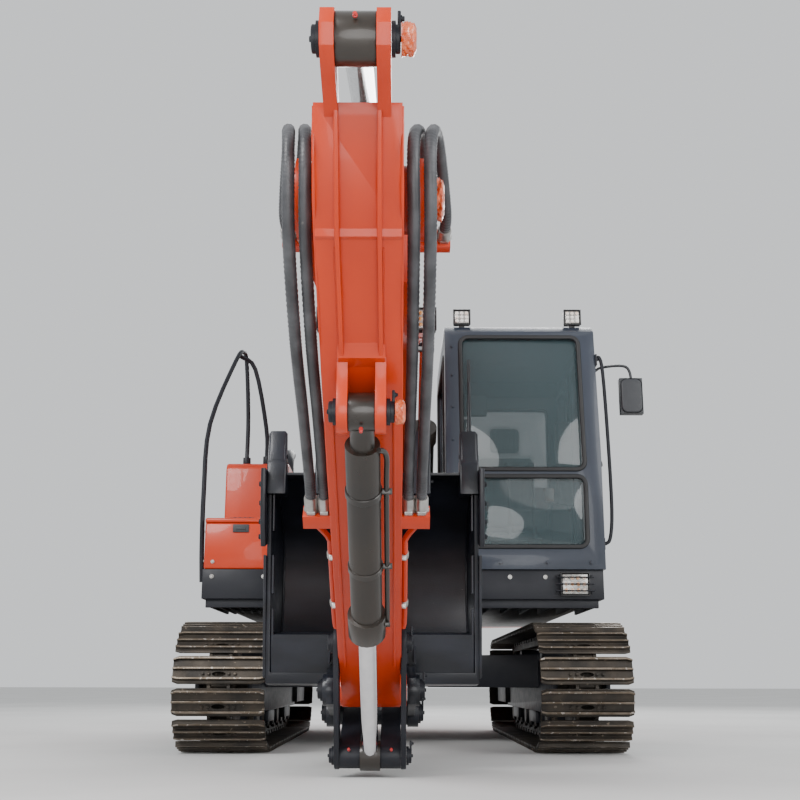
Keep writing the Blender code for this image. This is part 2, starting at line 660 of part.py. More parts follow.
def make_glass():
    x0, x1 = WINDSCREEN_X
    f = FIT
    lean = 0.11 / (CAB_TOP - 0.06 - 2.00)
    z0, z1 = UPPER_GLASS_Z
    pane = front(rounded(x0 + f, x1 - f, z0 + f, z1 - f, 0.05), 0.0, GLASS)
    for v in pane.data.vertices:
        v.co.y += CAB_FRONT + 0.02 + lean * max(0.0, v.co.z - 2.00)
    solid("windscreen_upper", "glass", [pane])
    z0, z1 = LOWER_GLASS_Z
    solid("windscreen_lower", "glass", [
        front(rounded(x0 + f, x1 - f, z0 + f, z1 - f, 0.06), CAB_FRONT + 0.02, CAB_FRONT + 0.02 + GLASS)])
    solid("rear_window", "glass", [
        front(rounded(0.43 + f, 1.24 - f, 1.75 + f, 2.72 - f, 0.05), CAB_REAR - 0.034, CAB_REAR - 0.034 + GLASS)])
    solid("right_window", "glass", [
        plate(rounded(-1.62 + f, -0.44 - f, 1.72 + f, 2.80 - f, 0.06), CAB_RIGHT + 0.02, CAB_RIGHT + 0.02 + GLASS)])
    solid("left_rear_window", "glass", [
        plate(rounded(DOOR_Y[1] + 0.09 + f, CAB_REAR - 0.12 - f, 1.78 + f, 2.78 - f, 0.05),
              CAB_LEFT - 0.03, CAB_LEFT - 0.03 + GLASS)])


def make_cab_inside():
    floor = DECK_TOP + FIT + CAB_WALL + FIT
    middle = (CAB_RIGHT + CAB_LEFT) / 2
    seat = [box(middle - 0.17, middle + 0.17, -1.10, -0.70, floor, floor + 0.34),
            box(middle - 0.25, middle + 0.25, -1.20, -0.66, floor + 0.32, floor + 0.46),
            plate([(-0.78, floor + 0.44), (-0.64, floor + 0.44), (-0.52, floor + 1.00), (-0.63, floor + 1.00)],
                  middle - 0.24, middle + 0.24),
            plate([(-0.62, floor + 0.99), (-0.53, floor + 0.99), (-0.50, floor + 1.24), (-0.59, floor + 1.24)],
                  middle - 0.13, middle + 0.13)]
    solid("operator_seat", "seat", seat)
    for name, x0, x1 in (("right_console", CAB_RIGHT + CAB_WALL + 0.02, middle - 0.26),
                         ("left_console", middle + 0.26, CAB_LEFT - CAB_WALL - 0.06)):
        solid(name, "seat", [
            box(x0, x1, -1.28, -0.50, floor, floor + 0.50),
            rod(((x0 + x1) / 2, -1.16, floor + 0.48), ((x0 + x1) / 2, -1.18, floor + 0.70), 0.022, 10)])


# ---------------------------------------------------------------- rails, mirror, lamps
def make_rails():
    r = 0.017
    tank = TANK_TOP + 0.0008
    x = -UPPER_HALF - r - FIT - 0.0003
    side = [(x, DECK_FRONT + 0.10, DECK_BOTTOM + 0.12), (-1.388, DECK_FRONT + 0.10, 1.35),
            (-1.392, DECK_FRONT + 0.10, 1.75), (-1.392, -1.68, 2.26), (-1.27, -1.36, 2.83), (-1.23, -1.24, 2.93),
            (-1.215, -1.16, 2.86), (-1.20, -1.08, 2.45), (-1.20, -1.07, tank + 0.03)]
    solid("handrail", "black", [pipe(smooth_path(side, 4), r),
                                rod((-1.20, -1.07, tank), (-1.20, -1.07, tank + 0.06), 0.03, 10),
                                pipe(smooth_path([(-1.252, -1.30, 2.885), (-1.14, -1.22, 2.80), (-1.05, -1.14, 2.35),
                                                  (-1.04, -1.12, tank + 0.03)], 4), r),
                                rod((-1.04, -1.12, tank), (-1.04, -1.12, tank + 0.06), 0.03, 10)])
    g = CAB_LEFT + FIT
    grab = [(g + 0.014, CAB_FRONT + 0.10, 2.70), (g + 0.03, CAB_FRONT + 0.09, 2.72),
            (g + 0.05, CAB_FRONT + 0.08, 2.60), (g + 0.065, CAB_FRONT + 0.07, 2.10),
            (g + 0.07, CAB_FRONT + 0.07, 1.62), (g + 0.05, CAB_FRONT + 0.07, 1.42), (g + 0.014, CAB_FRONT + 0.08, 1.38)]
    solid("grab_handle", "black", [pipe(smooth_path(grab, 4), 0.013),
                                   box(g, g + 0.012, CAB_FRONT + 0.07, CAB_FRONT + 0.13, 2.66, 2.74),
                                   box(g, g + 0.012, CAB_FRONT + 0.05, CAB_FRONT + 0.11, 1.34, 1.42)])
    m = CAB_LEFT + FIT
    arm = [(m + 0.011, CAB_FRONT + 0.17, 2.64), (m + 0.06, CAB_FRONT + 0.16, 2.665),
           (m + 0.20, CAB_FRONT + 0.10, 2.66), (m + 0.245, CAB_FRONT + 0.08, 2.60), (m + 0.25, CAB_FRONT + 0.08, 2.45)]
    solid("mirror", "black", [pipe(smooth_path(arm, 4), 0.010),
                              box(m, m + 0.012, CAB_FRONT + 0.14, CAB_FRONT + 0.20, 2.61, 2.67),
                              box(m + 0.165, m + 0.325, CAB_FRONT + 0.06, CAB_FRONT + 0.12, 2.30, 2.56)])


def lamp(name, x, y, z, width, height, depth, stem):
    """A square work lamp on a short stem that runs to its seat."""
    solid(name, "lamp", [box(x - width / 2, x + width / 2, y - depth, y, z - height / 2, z + height / 2), stem])


def make_lamps():
    for name, x in (("right_roof_lamp", 0.43), ("left_roof_lamp", 1.24)):
        y = CAB_FRONT + 0.24
        lamp(name, x, y, CAB_TOP + 0.075, 0.12, 0.11, 0.05,
             box(x - 0.02, x + 0.02, y - 0.03, y - 0.005, CAB_TOP + FIT, CAB_TOP + 0.05))
    side_y, side_z = boom_point(2.95, 0.62)
    for name, s in (("right_boom_lamp", -1), ("left_boom_lamp", 1)):
        x = BOOM_X + s * (BOOM_HALF + 0.095)
        low, high = sorted((BOOM_X + s * (BOOM_HALF + FIT), x - s * 0.03))
        lamp(name, x, side_y, side_z, 0.12, 0.14, 0.07,
             box(low, high, side_y - 0.05, side_y - 0.01, side_z - 0.03, side_z + 0.03))
    y = DECK_FRONT - FIT
    lamp("skirt_lamp", 1.16, y, 1.10, 0.19, 0.15, 0.035, box(1.12, 1.20, y - 0.01, y, 1.06, 1.14))


# ---------------------------------------------------------------- boom and its cylinders
def make_boom():
    lower = [(0.0, -FOOT_RADIUS), (1.35, 0.16), (2.25, 0.40), (2.75, 0.46), (3.4, 0.34), (5.2, -0.09)]
    upper = [(5.45, 0.17), (4.2, 0.56), (3.1, 1.02), (2.65, 1.15), (2.2, 1.13), (1.2, 0.72), (0.2, 0.22)]
    outline = [boom_point(*p) for p in lower]
    outline += [boom_point(BOOM_LENGTH + 0.13 * math.cos(math.radians(a)), 0.13 * math.sin(math.radians(a)))
                for a in (-80, -40, 0, 40, 80)]
    outline += [boom_point(*p) for p in upper]
    outline += [boom_point(FOOT_RADIUS * math.cos(math.radians(a)), FOOT_RADIUS * math.sin(math.radians(a)))
                for a in (120, 150, 180, 210, 240)]
    body = plate(outline, BOOM_X - BOOM_HALF, BOOM_X + BOOM_HALF)
    shapes = [body]
    foot_half = BOOM_HALF + 0.012
    shapes.append(disc(BOOM_FOOT, BOOM_X - foot_half, BOOM_X + foot_half, FOOT_RADIUS - 0.01))
    pin_half = LIFT_OFFSET - 0.055 - PIN_GAP
    shapes.append(disc(LIFT_PIN, BOOM_X - pin_half, BOOM_X + pin_half, 0.095))
    shapes.append(disc(ARM_PIN, BOOM_X - BOOM_FORK_HALF, BOOM_X + BOOM_FORK_HALF, 0.15))
    lug = [(-0.105, 0.0)] + [(0.085 * math.cos(math.radians(a)), 0.085 * math.sin(math.radians(a)))
                             for a in (150, 120, 90, 60, 30)] + [(0.105, 0.0), (0.16, -0.30), (-0.12, -0.30)]
    lug = [(ARM_BASE[0] + y, ARM_BASE[1] + z) for y, z in lug]
    gap = 0.065 + PIN_GAP
    for s in (-1, 1):
        shapes.append(plate(lug, *sorted((BOOM_X + s * gap, BOOM_X + s * (gap + 0.035)))))
    arm_room = [boom_point(*p) for p in ((BOOM_LENGTH - 0.62, -0.8), (BOOM_LENGTH + 0.4, -0.8),
                                         (BOOM_LENGTH + 0.4, 0.8), (BOOM_LENGTH - 0.45, 0.8))]
    shapes += hose_fittings(True)
    slot = plate(arm_room, BOOM_X - ARM_FORK_GAP, BOOM_X + ARM_FORK_GAP)
    pin = (BOOM_X, BOOM_FOOT[0], BOOM_FOOT[1])
    solid("boom", "orange", shapes, [slot], pivot=pin)


ARM_FORK_GAP = ARM_BOSS_HALF + PIN_GAP


def towards(start, end, distance):
    dy, dz = end[0] - start[0], end[1] - start[1]
    size = math.hypot(dy, dz)
    return (start[0] + dy / size * distance, start[1] + dz / size * distance)


def make_cylinder(name, x, base, tip, tube_radius, rod_radius, tube_length, eye_half, eye_radius, stroke):
    """Tube with its base eye and gland, and rod with its eye, as two nodes.

    stroke is (in, out): how far the rod slides either way from where it is parked.
    """
    length = math.hypot(tip[0] - base[0], tip[1] - base[1])
    bottom = towards(base, tip, eye_radius + 0.09)
    end = towards(base, tip, tube_length)
    gland = towards(base, tip, tube_length - 0.13)
    bore_start = towards(base, tip, eye_radius + 0.12)
    bore_end = towards(base, tip, tube_length + 0.1)

    def at(p):
        return (x, p[0], p[1])

    clear = rod_radius + 0.001
    solid(name + "_tube", "cylinder_black", [
        rod(at(bottom), at(end), tube_radius),
        rod(at(gland), at(end), tube_radius + 0.016),
        rod(at(base), at(towards(base, tip, eye_radius + 0.10)), eye_half * 0.95),
        disc(base, x - eye_half, x + eye_half, eye_radius),
    ], [rod(at(bore_start), at(bore_end), clear, 16)], pivot=at(base))
    inner = towards(base, tip, eye_radius + 0.13 + stroke[0])
    outer = towards(base, tip, length - eye_radius * 0.6)
    solid(name + "_rod", "chrome", [
        rod(at(inner), at(outer), rod_radius, 16),
        disc(tip, x - eye_half, x + eye_half, eye_radius),
    ], pivot=at(tip))


def make_cylinders():
    for side, s in (("right", -1), ("left", 1)):
        make_cylinder(side + "_lift", BOOM_X + s * LIFT_OFFSET, LIFT_BASE, LIFT_PIN, LIFT_TUBE_RADIUS,
                      LIFT_ROD_RADIUS, LIFT_TUBE_LENGTH, 0.055, 0.085, LIFT_STROKE)
    make_cylinder("arm_cylinder", BOOM_X, ARM_BASE, arm_point(*ARM_TAIL_PIN), ARM_TUBE_RADIUS,
                  ARM_ROD_RADIUS, ARM_TUBE_LENGTH, 0.065, 0.085, ARM_STROKE)
    make_cylinder("bucket_cylinder", BOOM_X, arm_point(*CURL_BASE), arm_point(*LINK_PIN), CURL_TUBE_RADIUS,
                  CURL_ROD_RADIUS, CURL_TUBE_LENGTH, 0.050, 0.072, CURL_STROKE)


# ---------------------------------------------------------------- arm
def make_arm():
    outline = [(-0.44, 0.168), (-0.06, 0.353), (0.9, 0.285), (2.55, 0.115), (2.70, 0.09)]
    outline += [(ARM_LENGTH + 0.085 * math.cos(math.radians(a)), 0.085 * math.sin(math.radians(a)))
                for a in (60, 20, -20, -60)]
    outline += [(2.50, -0.11), (1.2, -0.13), (0.30, -0.14), (0.12, -0.12), (0.0, -0.13), (-0.115, -0.105),
                (-0.38, 0.09)]
    body = plate(arm_points(outline), BOOM_X - ARM_HALF, BOOM_X + ARM_HALF)
    shapes = [body]
    shapes.append(disc(ARM_PIN, BOOM_X - ARM_BOSS_HALF, BOOM_X + ARM_BOSS_HALF, 0.125))
    shapes.append(disc(BUCKET_PIN, BOOM_X - ARM_BOSS_HALF, BOOM_X + ARM_BOSS_HALF, 0.080))
    ear = [(-0.34, 0.09), (-0.38, 0.18), (-0.55, 0.26)]
    ear += [(ARM_TAIL_PIN[0] + 0.10 * math.cos(math.radians(a)), ARM_TAIL_PIN[1] + 0.10 * math.sin(math.radians(a)))
            for a in (60, 100, 140, 180, 220, 260)]
    gap = 0.065 + PIN_GAP
    for s in (-1, 1):
        shapes.append(plate(arm_points(ear), *sorted((BOOM_X + s * gap, BOOM_X + s * (gap + 0.045)))))
    lug = [(CURL_BASE[0] + 0.085 * math.cos(math.radians(a)), CURL_BASE[1] + 0.085 * math.sin(math.radians(a)))
           for a in (0, 30, 60, 90, 120, 150, 180)] + [(0.42, 0.25), (0.82, 0.25)]
    gap = 0.050 + PIN_GAP
    for s in (-1, 1):
        shapes.append(plate(arm_points(lug), *sorted((BOOM_X + s * gap, BOOM_X + s * (gap + 0.040)))))
    guide = arm_point(*GUIDE_PIN)
    guide_in = ARM_HALF + 0.004
    shapes.append(disc(guide, BOOM_X - guide_in, BOOM_X + guide_in, 0.075))
    shapes += hose_fittings(False)
    solid("arm", "orange", shapes, pivot=(BOOM_X, *ARM_PIN))


def link_outline(start, end, start_radius, end_radius):
    """Side outline of a link: two round ends joined by straight edges."""
    a = math.degrees(math.atan2(end[1] - start[1], end[0] - start[0]))
    points = arc(start, start_radius, a + 100, a + 260, 6)
    points += arc(end, end_radius, a - 80, a + 80, 6)
    return points


def bucket_ear():
    return arm_point(ARM_LENGTH + EAR_REACH * math.cos(math.radians(EAR_ANGLE)),
                     EAR_REACH * math.sin(math.radians(EAR_ANGLE)))


def make_links():
    guide, pin, ear = arm_point(*GUIDE_PIN), arm_point(*LINK_PIN), bucket_ear()
    low = ARM_HALF + 0.004 + PIN_GAP
    for side, s in (("right", -1), ("left", 1)):
        x = sorted((BOOM_X + s * low, BOOM_X + s * (low + GUIDE_PLATE)))
        solid(side + "_guide_link", "black", [plate(link_outline(guide, pin, 0.075, 0.065), *x)],
              pivot=(BOOM_X + s * low, *guide))
    inner = 0.050 + PIN_GAP
    outer = ARM_HALF + 0.004
    shapes = []
    for s in (-1, 1):
        x = sorted((BOOM_X + s * inner, BOOM_X + s * outer))
        shapes.append(plate(link_outline(pin, ear, 0.062, 0.065), *x))
    half = EAR_IN - PIN_GAP
    shapes.append(disc(ear, BOOM_X - half, BOOM_X + half, 0.064))
    solid("bucket_link", "black", shapes, pivot=(BOOM_X, *ear))


# ---------------------------------------------------------------- bucket
def make_bucket():
    pin, ear = BUCKET_PIN, bucket_ear()

    def place(across, up):
        """Point given toward the machine and up from the bucket pin."""
        return (pin[0] + across, pin[1] + up)

    outer = [place(*p) for p in ((0.02, 1.14), (0.30, 1.16), (0.62, 1.02), (0.78, 0.78), (0.80, 0.52),
                                 (0.72, 0.26), (0.56, 0.08), (0.38, 0.02), (0.20, 0.03))]
    w = BUCKET_WALL
    inner = [place(*p) for p in ((-0.20, 1.14 - w), (0.30, 1.16 - w - 0.004), (0.61 - w * 0.7, 1.02 - w),
                                 (0.78 - w, 0.77), (0.80 - w, 0.52), (0.72 - w, 0.27), (0.55, 0.08 + w),
                                 (0.38, 0.02 + w), (0.22, 0.05 + w), (-0.20, 0.30))]
    body = plate(outer, BOOM_X - BUCKET_HALF, BOOM_X + BUCKET_HALF)
    hollow = plate(inner, BOOM_X - BUCKET_HALF + w, BOOM_X + BUCKET_HALF - w)
    ears = [place(-0.07, -0.07), place(0.05, -0.09), place(0.40, -0.16), place(0.47, -0.10), place(0.50, 0.10),
            place(0.22, 0.14), place(0.05, 0.10), place(-0.07, 0.06)]
    shapes = [body]
    for s in (-1, 1):
        shapes.append(plate(ears, *sorted((BOOM_X + s * EAR_IN, BOOM_X + s * EAR_OUT))))
    shapes.append(disc(ear, BOOM_X - EAR_OUT - 0.02, BOOM_X - EAR_IN, 0.075))
    shapes.append(disc(ear, BOOM_X + EAR_IN, BOOM_X + EAR_OUT + 0.02, 0.075))
    shapes.append(disc(pin, BOOM_X - EAR_OUT - 0.02, BOOM_X - EAR_IN, 0.080))
    shapes.append(disc(pin, BOOM_X + EAR_IN, BOOM_X + EAR_OUT + 0.02, 0.080))
    teeth = 5
    pitch = (2 * BUCKET_HALF - 0.10) / (teeth - 1)
    for i in range(teeth):
        x = BOOM_X - BUCKET_HALF + 0.05 + pitch * i
        profile = [place(0.0, 1.08), place(0.10, 1.08), place(0.09, 1.18), place(0.045, 1.36), place(0.03, 1.36),
                   place(-0.01, 1.18)]
        shapes.append(plate(profile, x - 0.05, x + 0.05))
    solid("bucket", "bucket_black", [shapes[0]], [hollow], pivot=(BOOM_X, *pin))
    bucket = bpy.data.objects["bucket"]
    for tool in shapes[1:]:
        tool.data.transform(Matrix.Translation(Vector(SHIFT) - bucket.location))
        tool.location = bucket.location
        bpy.context.view_layer.update()
        combine(bucket, tool, "UNION")
    bucket.data.shade_smooth()
    bucket.data.set_sharp_from_angle(angle=SMOOTH_ANGLE)
    paint(bucket, "bucket_black")


# ---------------------------------------------------------------- hoses on the arm
def hose_lanes():
    """(name, x beside the boom, x over the pin, x beside the arm) of the four hoses."""
    lanes = []
    for side, s in (("right", -1), ("left", 1)):
        for which, *across in (("inner", 0.265, 0.188, 0.180), ("outer", 0.325, 0.246, 0.236)):
            lanes.append((side + "_" + which + "_hose", *(BOOM_X + s * x for x in across)))
    return lanes


def hose_fittings(shift_on_boom):
    """Square blocks that the hoses end on, at the boom's side or at the arm's side."""
    shapes = []
    for s in (-1, 1):
        if shift_on_boom:
            points = [(BOOM_LENGTH + p, q) for p, q in ((-0.66, 0.10), (HOSE_START - FIT, 0.10),
                                                        (HOSE_START - FIT, 0.18), (-0.66, 0.18))]
            side = [boom_point(*p) for p in points]
            reach = (BOOM_HALF - 0.005, 0.352)
        else:
            side = arm_points([(HOSE_END + FIT, 0.115), (HOSE_END + 0.07, 0.115),
                               (HOSE_END + 0.07, 0.185), (HOSE_END + FIT, 0.185)])
            reach = (ARM_HALF - 0.005, 0.272)
        shapes.append(plate(side, *sorted((BOOM_X + s * reach[0], BOOM_X + s * reach[1]))))
    return shapes


def make_hoses():
    """Four hoses from the boom's pipes over the arm pin and down the arm's sides."""
    for name, x, over, low in hose_lanes():
        start = [boom_point(BOOM_LENGTH + HOSE_START + run, 0.14) for run in (0.0, 0.03, 0.06)]
        start.append(boom_point(BOOM_LENGTH - 0.40, 0.17))
        route = [(x, *p) for p in start]
        route.append(((x + over) / 2, *boom_point(BOOM_LENGTH - 0.10, 0.30)))
        route += [(over, *arm_point(*p)) for p in ((-0.26, 0.06), (0.0, 0.25), (0.45, 0.25))]
        route += [((over + low) / 2, *arm_point(0.85, 0.19)), (low, *arm_point(1.22, 0.15))]
        route += [(low, *arm_point(HOSE_END - run, 0.15)) for run in (0.06, 0.03, 0.0)]
        solid(name, "rubber", [pipe(smooth_path(route, 3), HOSE_RADIUS, 8)])


def main():
    clear_scene()
    make_undercarriage_side("left", GAUGE / 2, -1)
    make_undercarriage_side("right", -GAUGE / 2, 1)
    make_car_body()
    make_bearing()
    make_revolving_frame()
    make_counterweight()
    make_engine()
    make_housings()
    make_hood()
    make_tanks()
    make_cab()
    make_glass()
    make_cab_inside()
    make_rails()
    make_lamps()
    make_boom()
    make_cylinders()
    make_arm()
    make_links()
    make_bucket()
    make_hoses()


main()
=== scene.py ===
"""Looks of the crawler excavator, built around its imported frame. Metres, +Z up, front at -Y."""
import json
import math

import bmesh
import bpy
from mathutils import Matrix, Vector


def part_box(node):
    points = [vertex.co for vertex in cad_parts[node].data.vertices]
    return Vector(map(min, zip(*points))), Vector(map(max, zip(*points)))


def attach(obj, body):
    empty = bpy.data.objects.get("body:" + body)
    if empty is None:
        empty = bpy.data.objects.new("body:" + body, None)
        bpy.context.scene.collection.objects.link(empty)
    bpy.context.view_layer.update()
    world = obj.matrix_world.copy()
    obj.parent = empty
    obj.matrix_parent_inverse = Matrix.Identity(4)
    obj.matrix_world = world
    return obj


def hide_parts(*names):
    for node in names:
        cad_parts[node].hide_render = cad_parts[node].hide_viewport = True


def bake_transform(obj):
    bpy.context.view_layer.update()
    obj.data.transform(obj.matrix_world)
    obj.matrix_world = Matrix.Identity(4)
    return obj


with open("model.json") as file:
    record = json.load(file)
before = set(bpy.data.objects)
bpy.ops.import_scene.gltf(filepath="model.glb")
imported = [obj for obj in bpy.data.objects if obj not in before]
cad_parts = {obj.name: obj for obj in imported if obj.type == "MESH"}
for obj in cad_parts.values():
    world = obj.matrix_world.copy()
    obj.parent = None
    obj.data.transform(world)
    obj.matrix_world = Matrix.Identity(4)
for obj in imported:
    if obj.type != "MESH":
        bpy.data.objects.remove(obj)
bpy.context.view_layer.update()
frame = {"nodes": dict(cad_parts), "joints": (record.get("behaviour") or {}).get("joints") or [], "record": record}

JOINTS = {j["name"]: j for j in frame["joints"]}
NODES = frame["nodes"]
NODE_BODY = {n: b for b, ns in frame["record"]["behaviour"]["bodies"].items() for n in ns}


# ---------------------------------------------------------------- the frame's own lines
def joint_point(name):
    """Where a joint sits in the shared frame."""
    return Vector(JOINTS[name]["pos_m"])


BOOM_X = joint_point("boom_lift").x
BOOM_FOOT = joint_point("boom_lift")
ARM_PIN = joint_point("arm_reach")
BUCKET_PIN = joint_point("bucket_dump")
EAR_PIN = joint_point("bucket_link_swing")
GUIDE_PIN = joint_point("guide_link_swing")
ARM_LINE = (BUCKET_PIN - ARM_PIN).normalized()
ARM_OUT = Vector((0, ARM_LINE.z, -ARM_LINE.y))
BOOM_LINE = (ARM_PIN - BOOM_FOOT).normalized()
BOOM_UP = Vector((0, BOOM_LINE.z, -BOOM_LINE.y))
BOOM_LENGTH = (ARM_PIN - BOOM_FOOT).length
ARM_HALF = 0.1475
BOOM_HALF = 0.21


def on_arm(along, out, x=0.0):
    """Point on the arm: along from its top pin, out of its front face, x to the left."""
    return ARM_PIN + ARM_LINE * along + ARM_OUT * out + Vector((x, 0, 0))


def on_boom(along, above, x=0.0):
    """Point on the boom: along from its foot, above its pin line, x to the left."""
    return BOOM_FOOT + BOOM_LINE * along + BOOM_UP * above + Vector((x, 0, 0))


def arm_line(points, x):
    """Points (along, out) of the arm, all at x."""
    return [on_arm(along, out, x) for along, out in points]


def boom_line(points, x):
    """Points (along, above) of the boom, all at x."""
    return [on_boom(along, above, x) for along, above in points]


TAIL_PIN = on_arm(-0.66, 0.20)       # of the arm cylinder's rod
CURL_PIN = on_arm(0.65, 0.42)        # of the bucket cylinder's tube
LINK_PIN = on_arm(2.891, 0.323)      # of the bucket cylinder's rod
ARM_CYLINDER_PIN = Vector((BOOM_X, -1.115, 3.36))


# ---------------------------------------------------------------- camera, light, floor
FOCAL = 50.2
CAMERA_PLACE = (-0.140, -7.693, 0.461)
CAMERA_PITCH = 14.17
CAMERA_YAW = -0.123
CAMERA_ROLL = -0.108
SKY = (0.86, 0.88, 0.90, 1)
FLOOR_GREY = (0.62, 0.62, 0.61)
FLOOR_TINT = (0.56, 0.56, 0.55)


def make_camera():
    """The photo's viewpoint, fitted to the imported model."""
    data = bpy.data.cameras.new("camera")
    data.lens = FOCAL
    data.sensor_width = 36.0
    camera = bpy.data.objects.new("camera", data)
    camera.location = CAMERA_PLACE
    camera.rotation_euler = [math.radians(a) for a in (90 + CAMERA_PITCH, CAMERA_ROLL, CAMERA_YAW)]
    bpy.context.scene.collection.objects.link(camera)
    bpy.context.scene.camera = camera


def make_light(name, place, target, size, power):
    """A round area light aimed at a target."""
    data = bpy.data.lights.new(name, "AREA")
    data.shape = "DISK"
    data.size = size
    data.energy = power
    light = bpy.data.objects.new(name, data)
    light.location = place
    light.rotation_euler = (Vector(target) - Vector(place)).to_track_quat("-Z", "Y").to_euler()
    bpy.context.scene.collection.objects.link(light)


def make_studio():
    """An even pale sky, four soft lights and a grey floor."""
    world = bpy.data.worlds.new("studio")
    bpy.context.scene.world = world
    world.use_nodes = True
    background = world.node_tree.nodes["Background"]
    background.inputs["Color"].default_value = SKY
    background.inputs["Strength"].default_value = 1.0
    make_light("key", (-7.0, -10.0, 8.5), (0, -1, 1.5), 6.0, 1500)
    make_light("fill", (8.0, -8.0, 5.0), (0, -1, 1.2), 7.0, 700)
    make_light("rim", (2.0, 11.0, 9.0), (0, 0, 2.0), 7.0, 1100)
    make_light("low", (0.0, -9.0, 1.2), (0, -1, 1.0), 4.0, 180)
    bpy.ops.mesh.primitive_plane_add(size=160)
    floor = bpy.context.object
    floor.name = "floor"
    floor.data.materials.append(node_material("floor_grey", FLOOR_GREY, 0.85, tint=FLOOR_TINT, patch=0.6,
                                              bump=0.02))


# ---------------------------------------------------------------- materials
def node_material(name, colour, roughness, tint=None, patch=2.5, spots=None, spot_size=26.0, spot_share=0.30,
                  grain=90.0, bump=0.04, gloss_spread=0.10, metallic=0.0, coat=0.0, streak=(1, 1, 1),
                  **sockets):
    """Painted or moulded surface: broad tint patches, small worn spots, fine grain in bump and gloss."""
    material = bpy.data.materials.new(name)
    material.use_nodes = True
    tree = material.node_tree
    nodes, links = tree.nodes, tree.links
    shader = nodes["Principled BSDF"]
    shader.inputs["Metallic"].default_value = metallic
    shader.inputs["Coat Weight"].default_value = coat
    for socket, value in sockets.items():
        shader.inputs[socket.replace("_", " ")].default_value = value
    place = nodes.new("ShaderNodeTexCoord")
    stretch = nodes.new("ShaderNodeMapping")
    stretch.inputs["Scale"].default_value = streak
    links.new(place.outputs["Object"], stretch.inputs["Vector"])

    def noise(scale, detail, stretched=False):
        node = nodes.new("ShaderNodeTexNoise")
        node.inputs["Scale"].default_value = scale
        node.inputs["Detail"].default_value = detail
        source = stretch.outputs["Vector"] if stretched else place.outputs["Object"]
        links.new(source, node.inputs["Vector"])
        return node.outputs["Fac"]

    def ramp(value, low, high):
        node = nodes.new("ShaderNodeMapRange")
        node.inputs["From Min"].default_value = low
        node.inputs["From Max"].default_value = high
        links.new(value, node.inputs["Value"])
        return node

    def blend(fac, first, second):
        node = nodes.new("ShaderNodeMix")
        node.data_type = "RGBA"
        links.new(fac, node.inputs["Factor"])
        for socket, value in (("A", first), ("B", second)):
            target = [s for s in node.inputs if s.name == socket and s.type == "RGBA"][0]
            if isinstance(value, tuple):
                target.default_value = (*value, 1)
            else:
                links.new(value, target)
        return [s for s in node.outputs if s.type == "RGBA"][0]

    tint = tint or tuple(c * 0.82 for c in colour)
    patches = ramp(noise(patch, 6, True), 0.38, 0.66)
    shade = blend(patches.outputs["Result"], colour, tint)
    if spots:
        worn = ramp(noise(spot_size, 9, True), 1.0 - spot_share, 1.04 - spot_share)
        shade = blend(worn.outputs["Result"], shade, spots)
    links.new(shade, shader.inputs["Base Color"])
    fine = noise(grain, 5)
    gloss = ramp(noise(grain * 0.12, 5), 0.3, 0.7)
    gloss.inputs["To Min"].default_value = max(0.03, roughness - gloss_spread / 2)
    gloss.inputs["To Max"].default_value = roughness + gloss_spread / 2
    links.new(gloss.outputs["Result"], shader.inputs["Roughness"])
    relief = nodes.new("ShaderNodeBump")
    relief.inputs["Strength"].default_value = bump * 4
    relief.inputs["Distance"].default_value = 0.002
    links.new(fine, relief.inputs["Height"])
    links.new(relief.outputs["Normal"], shader.inputs["Normal"])
    return material


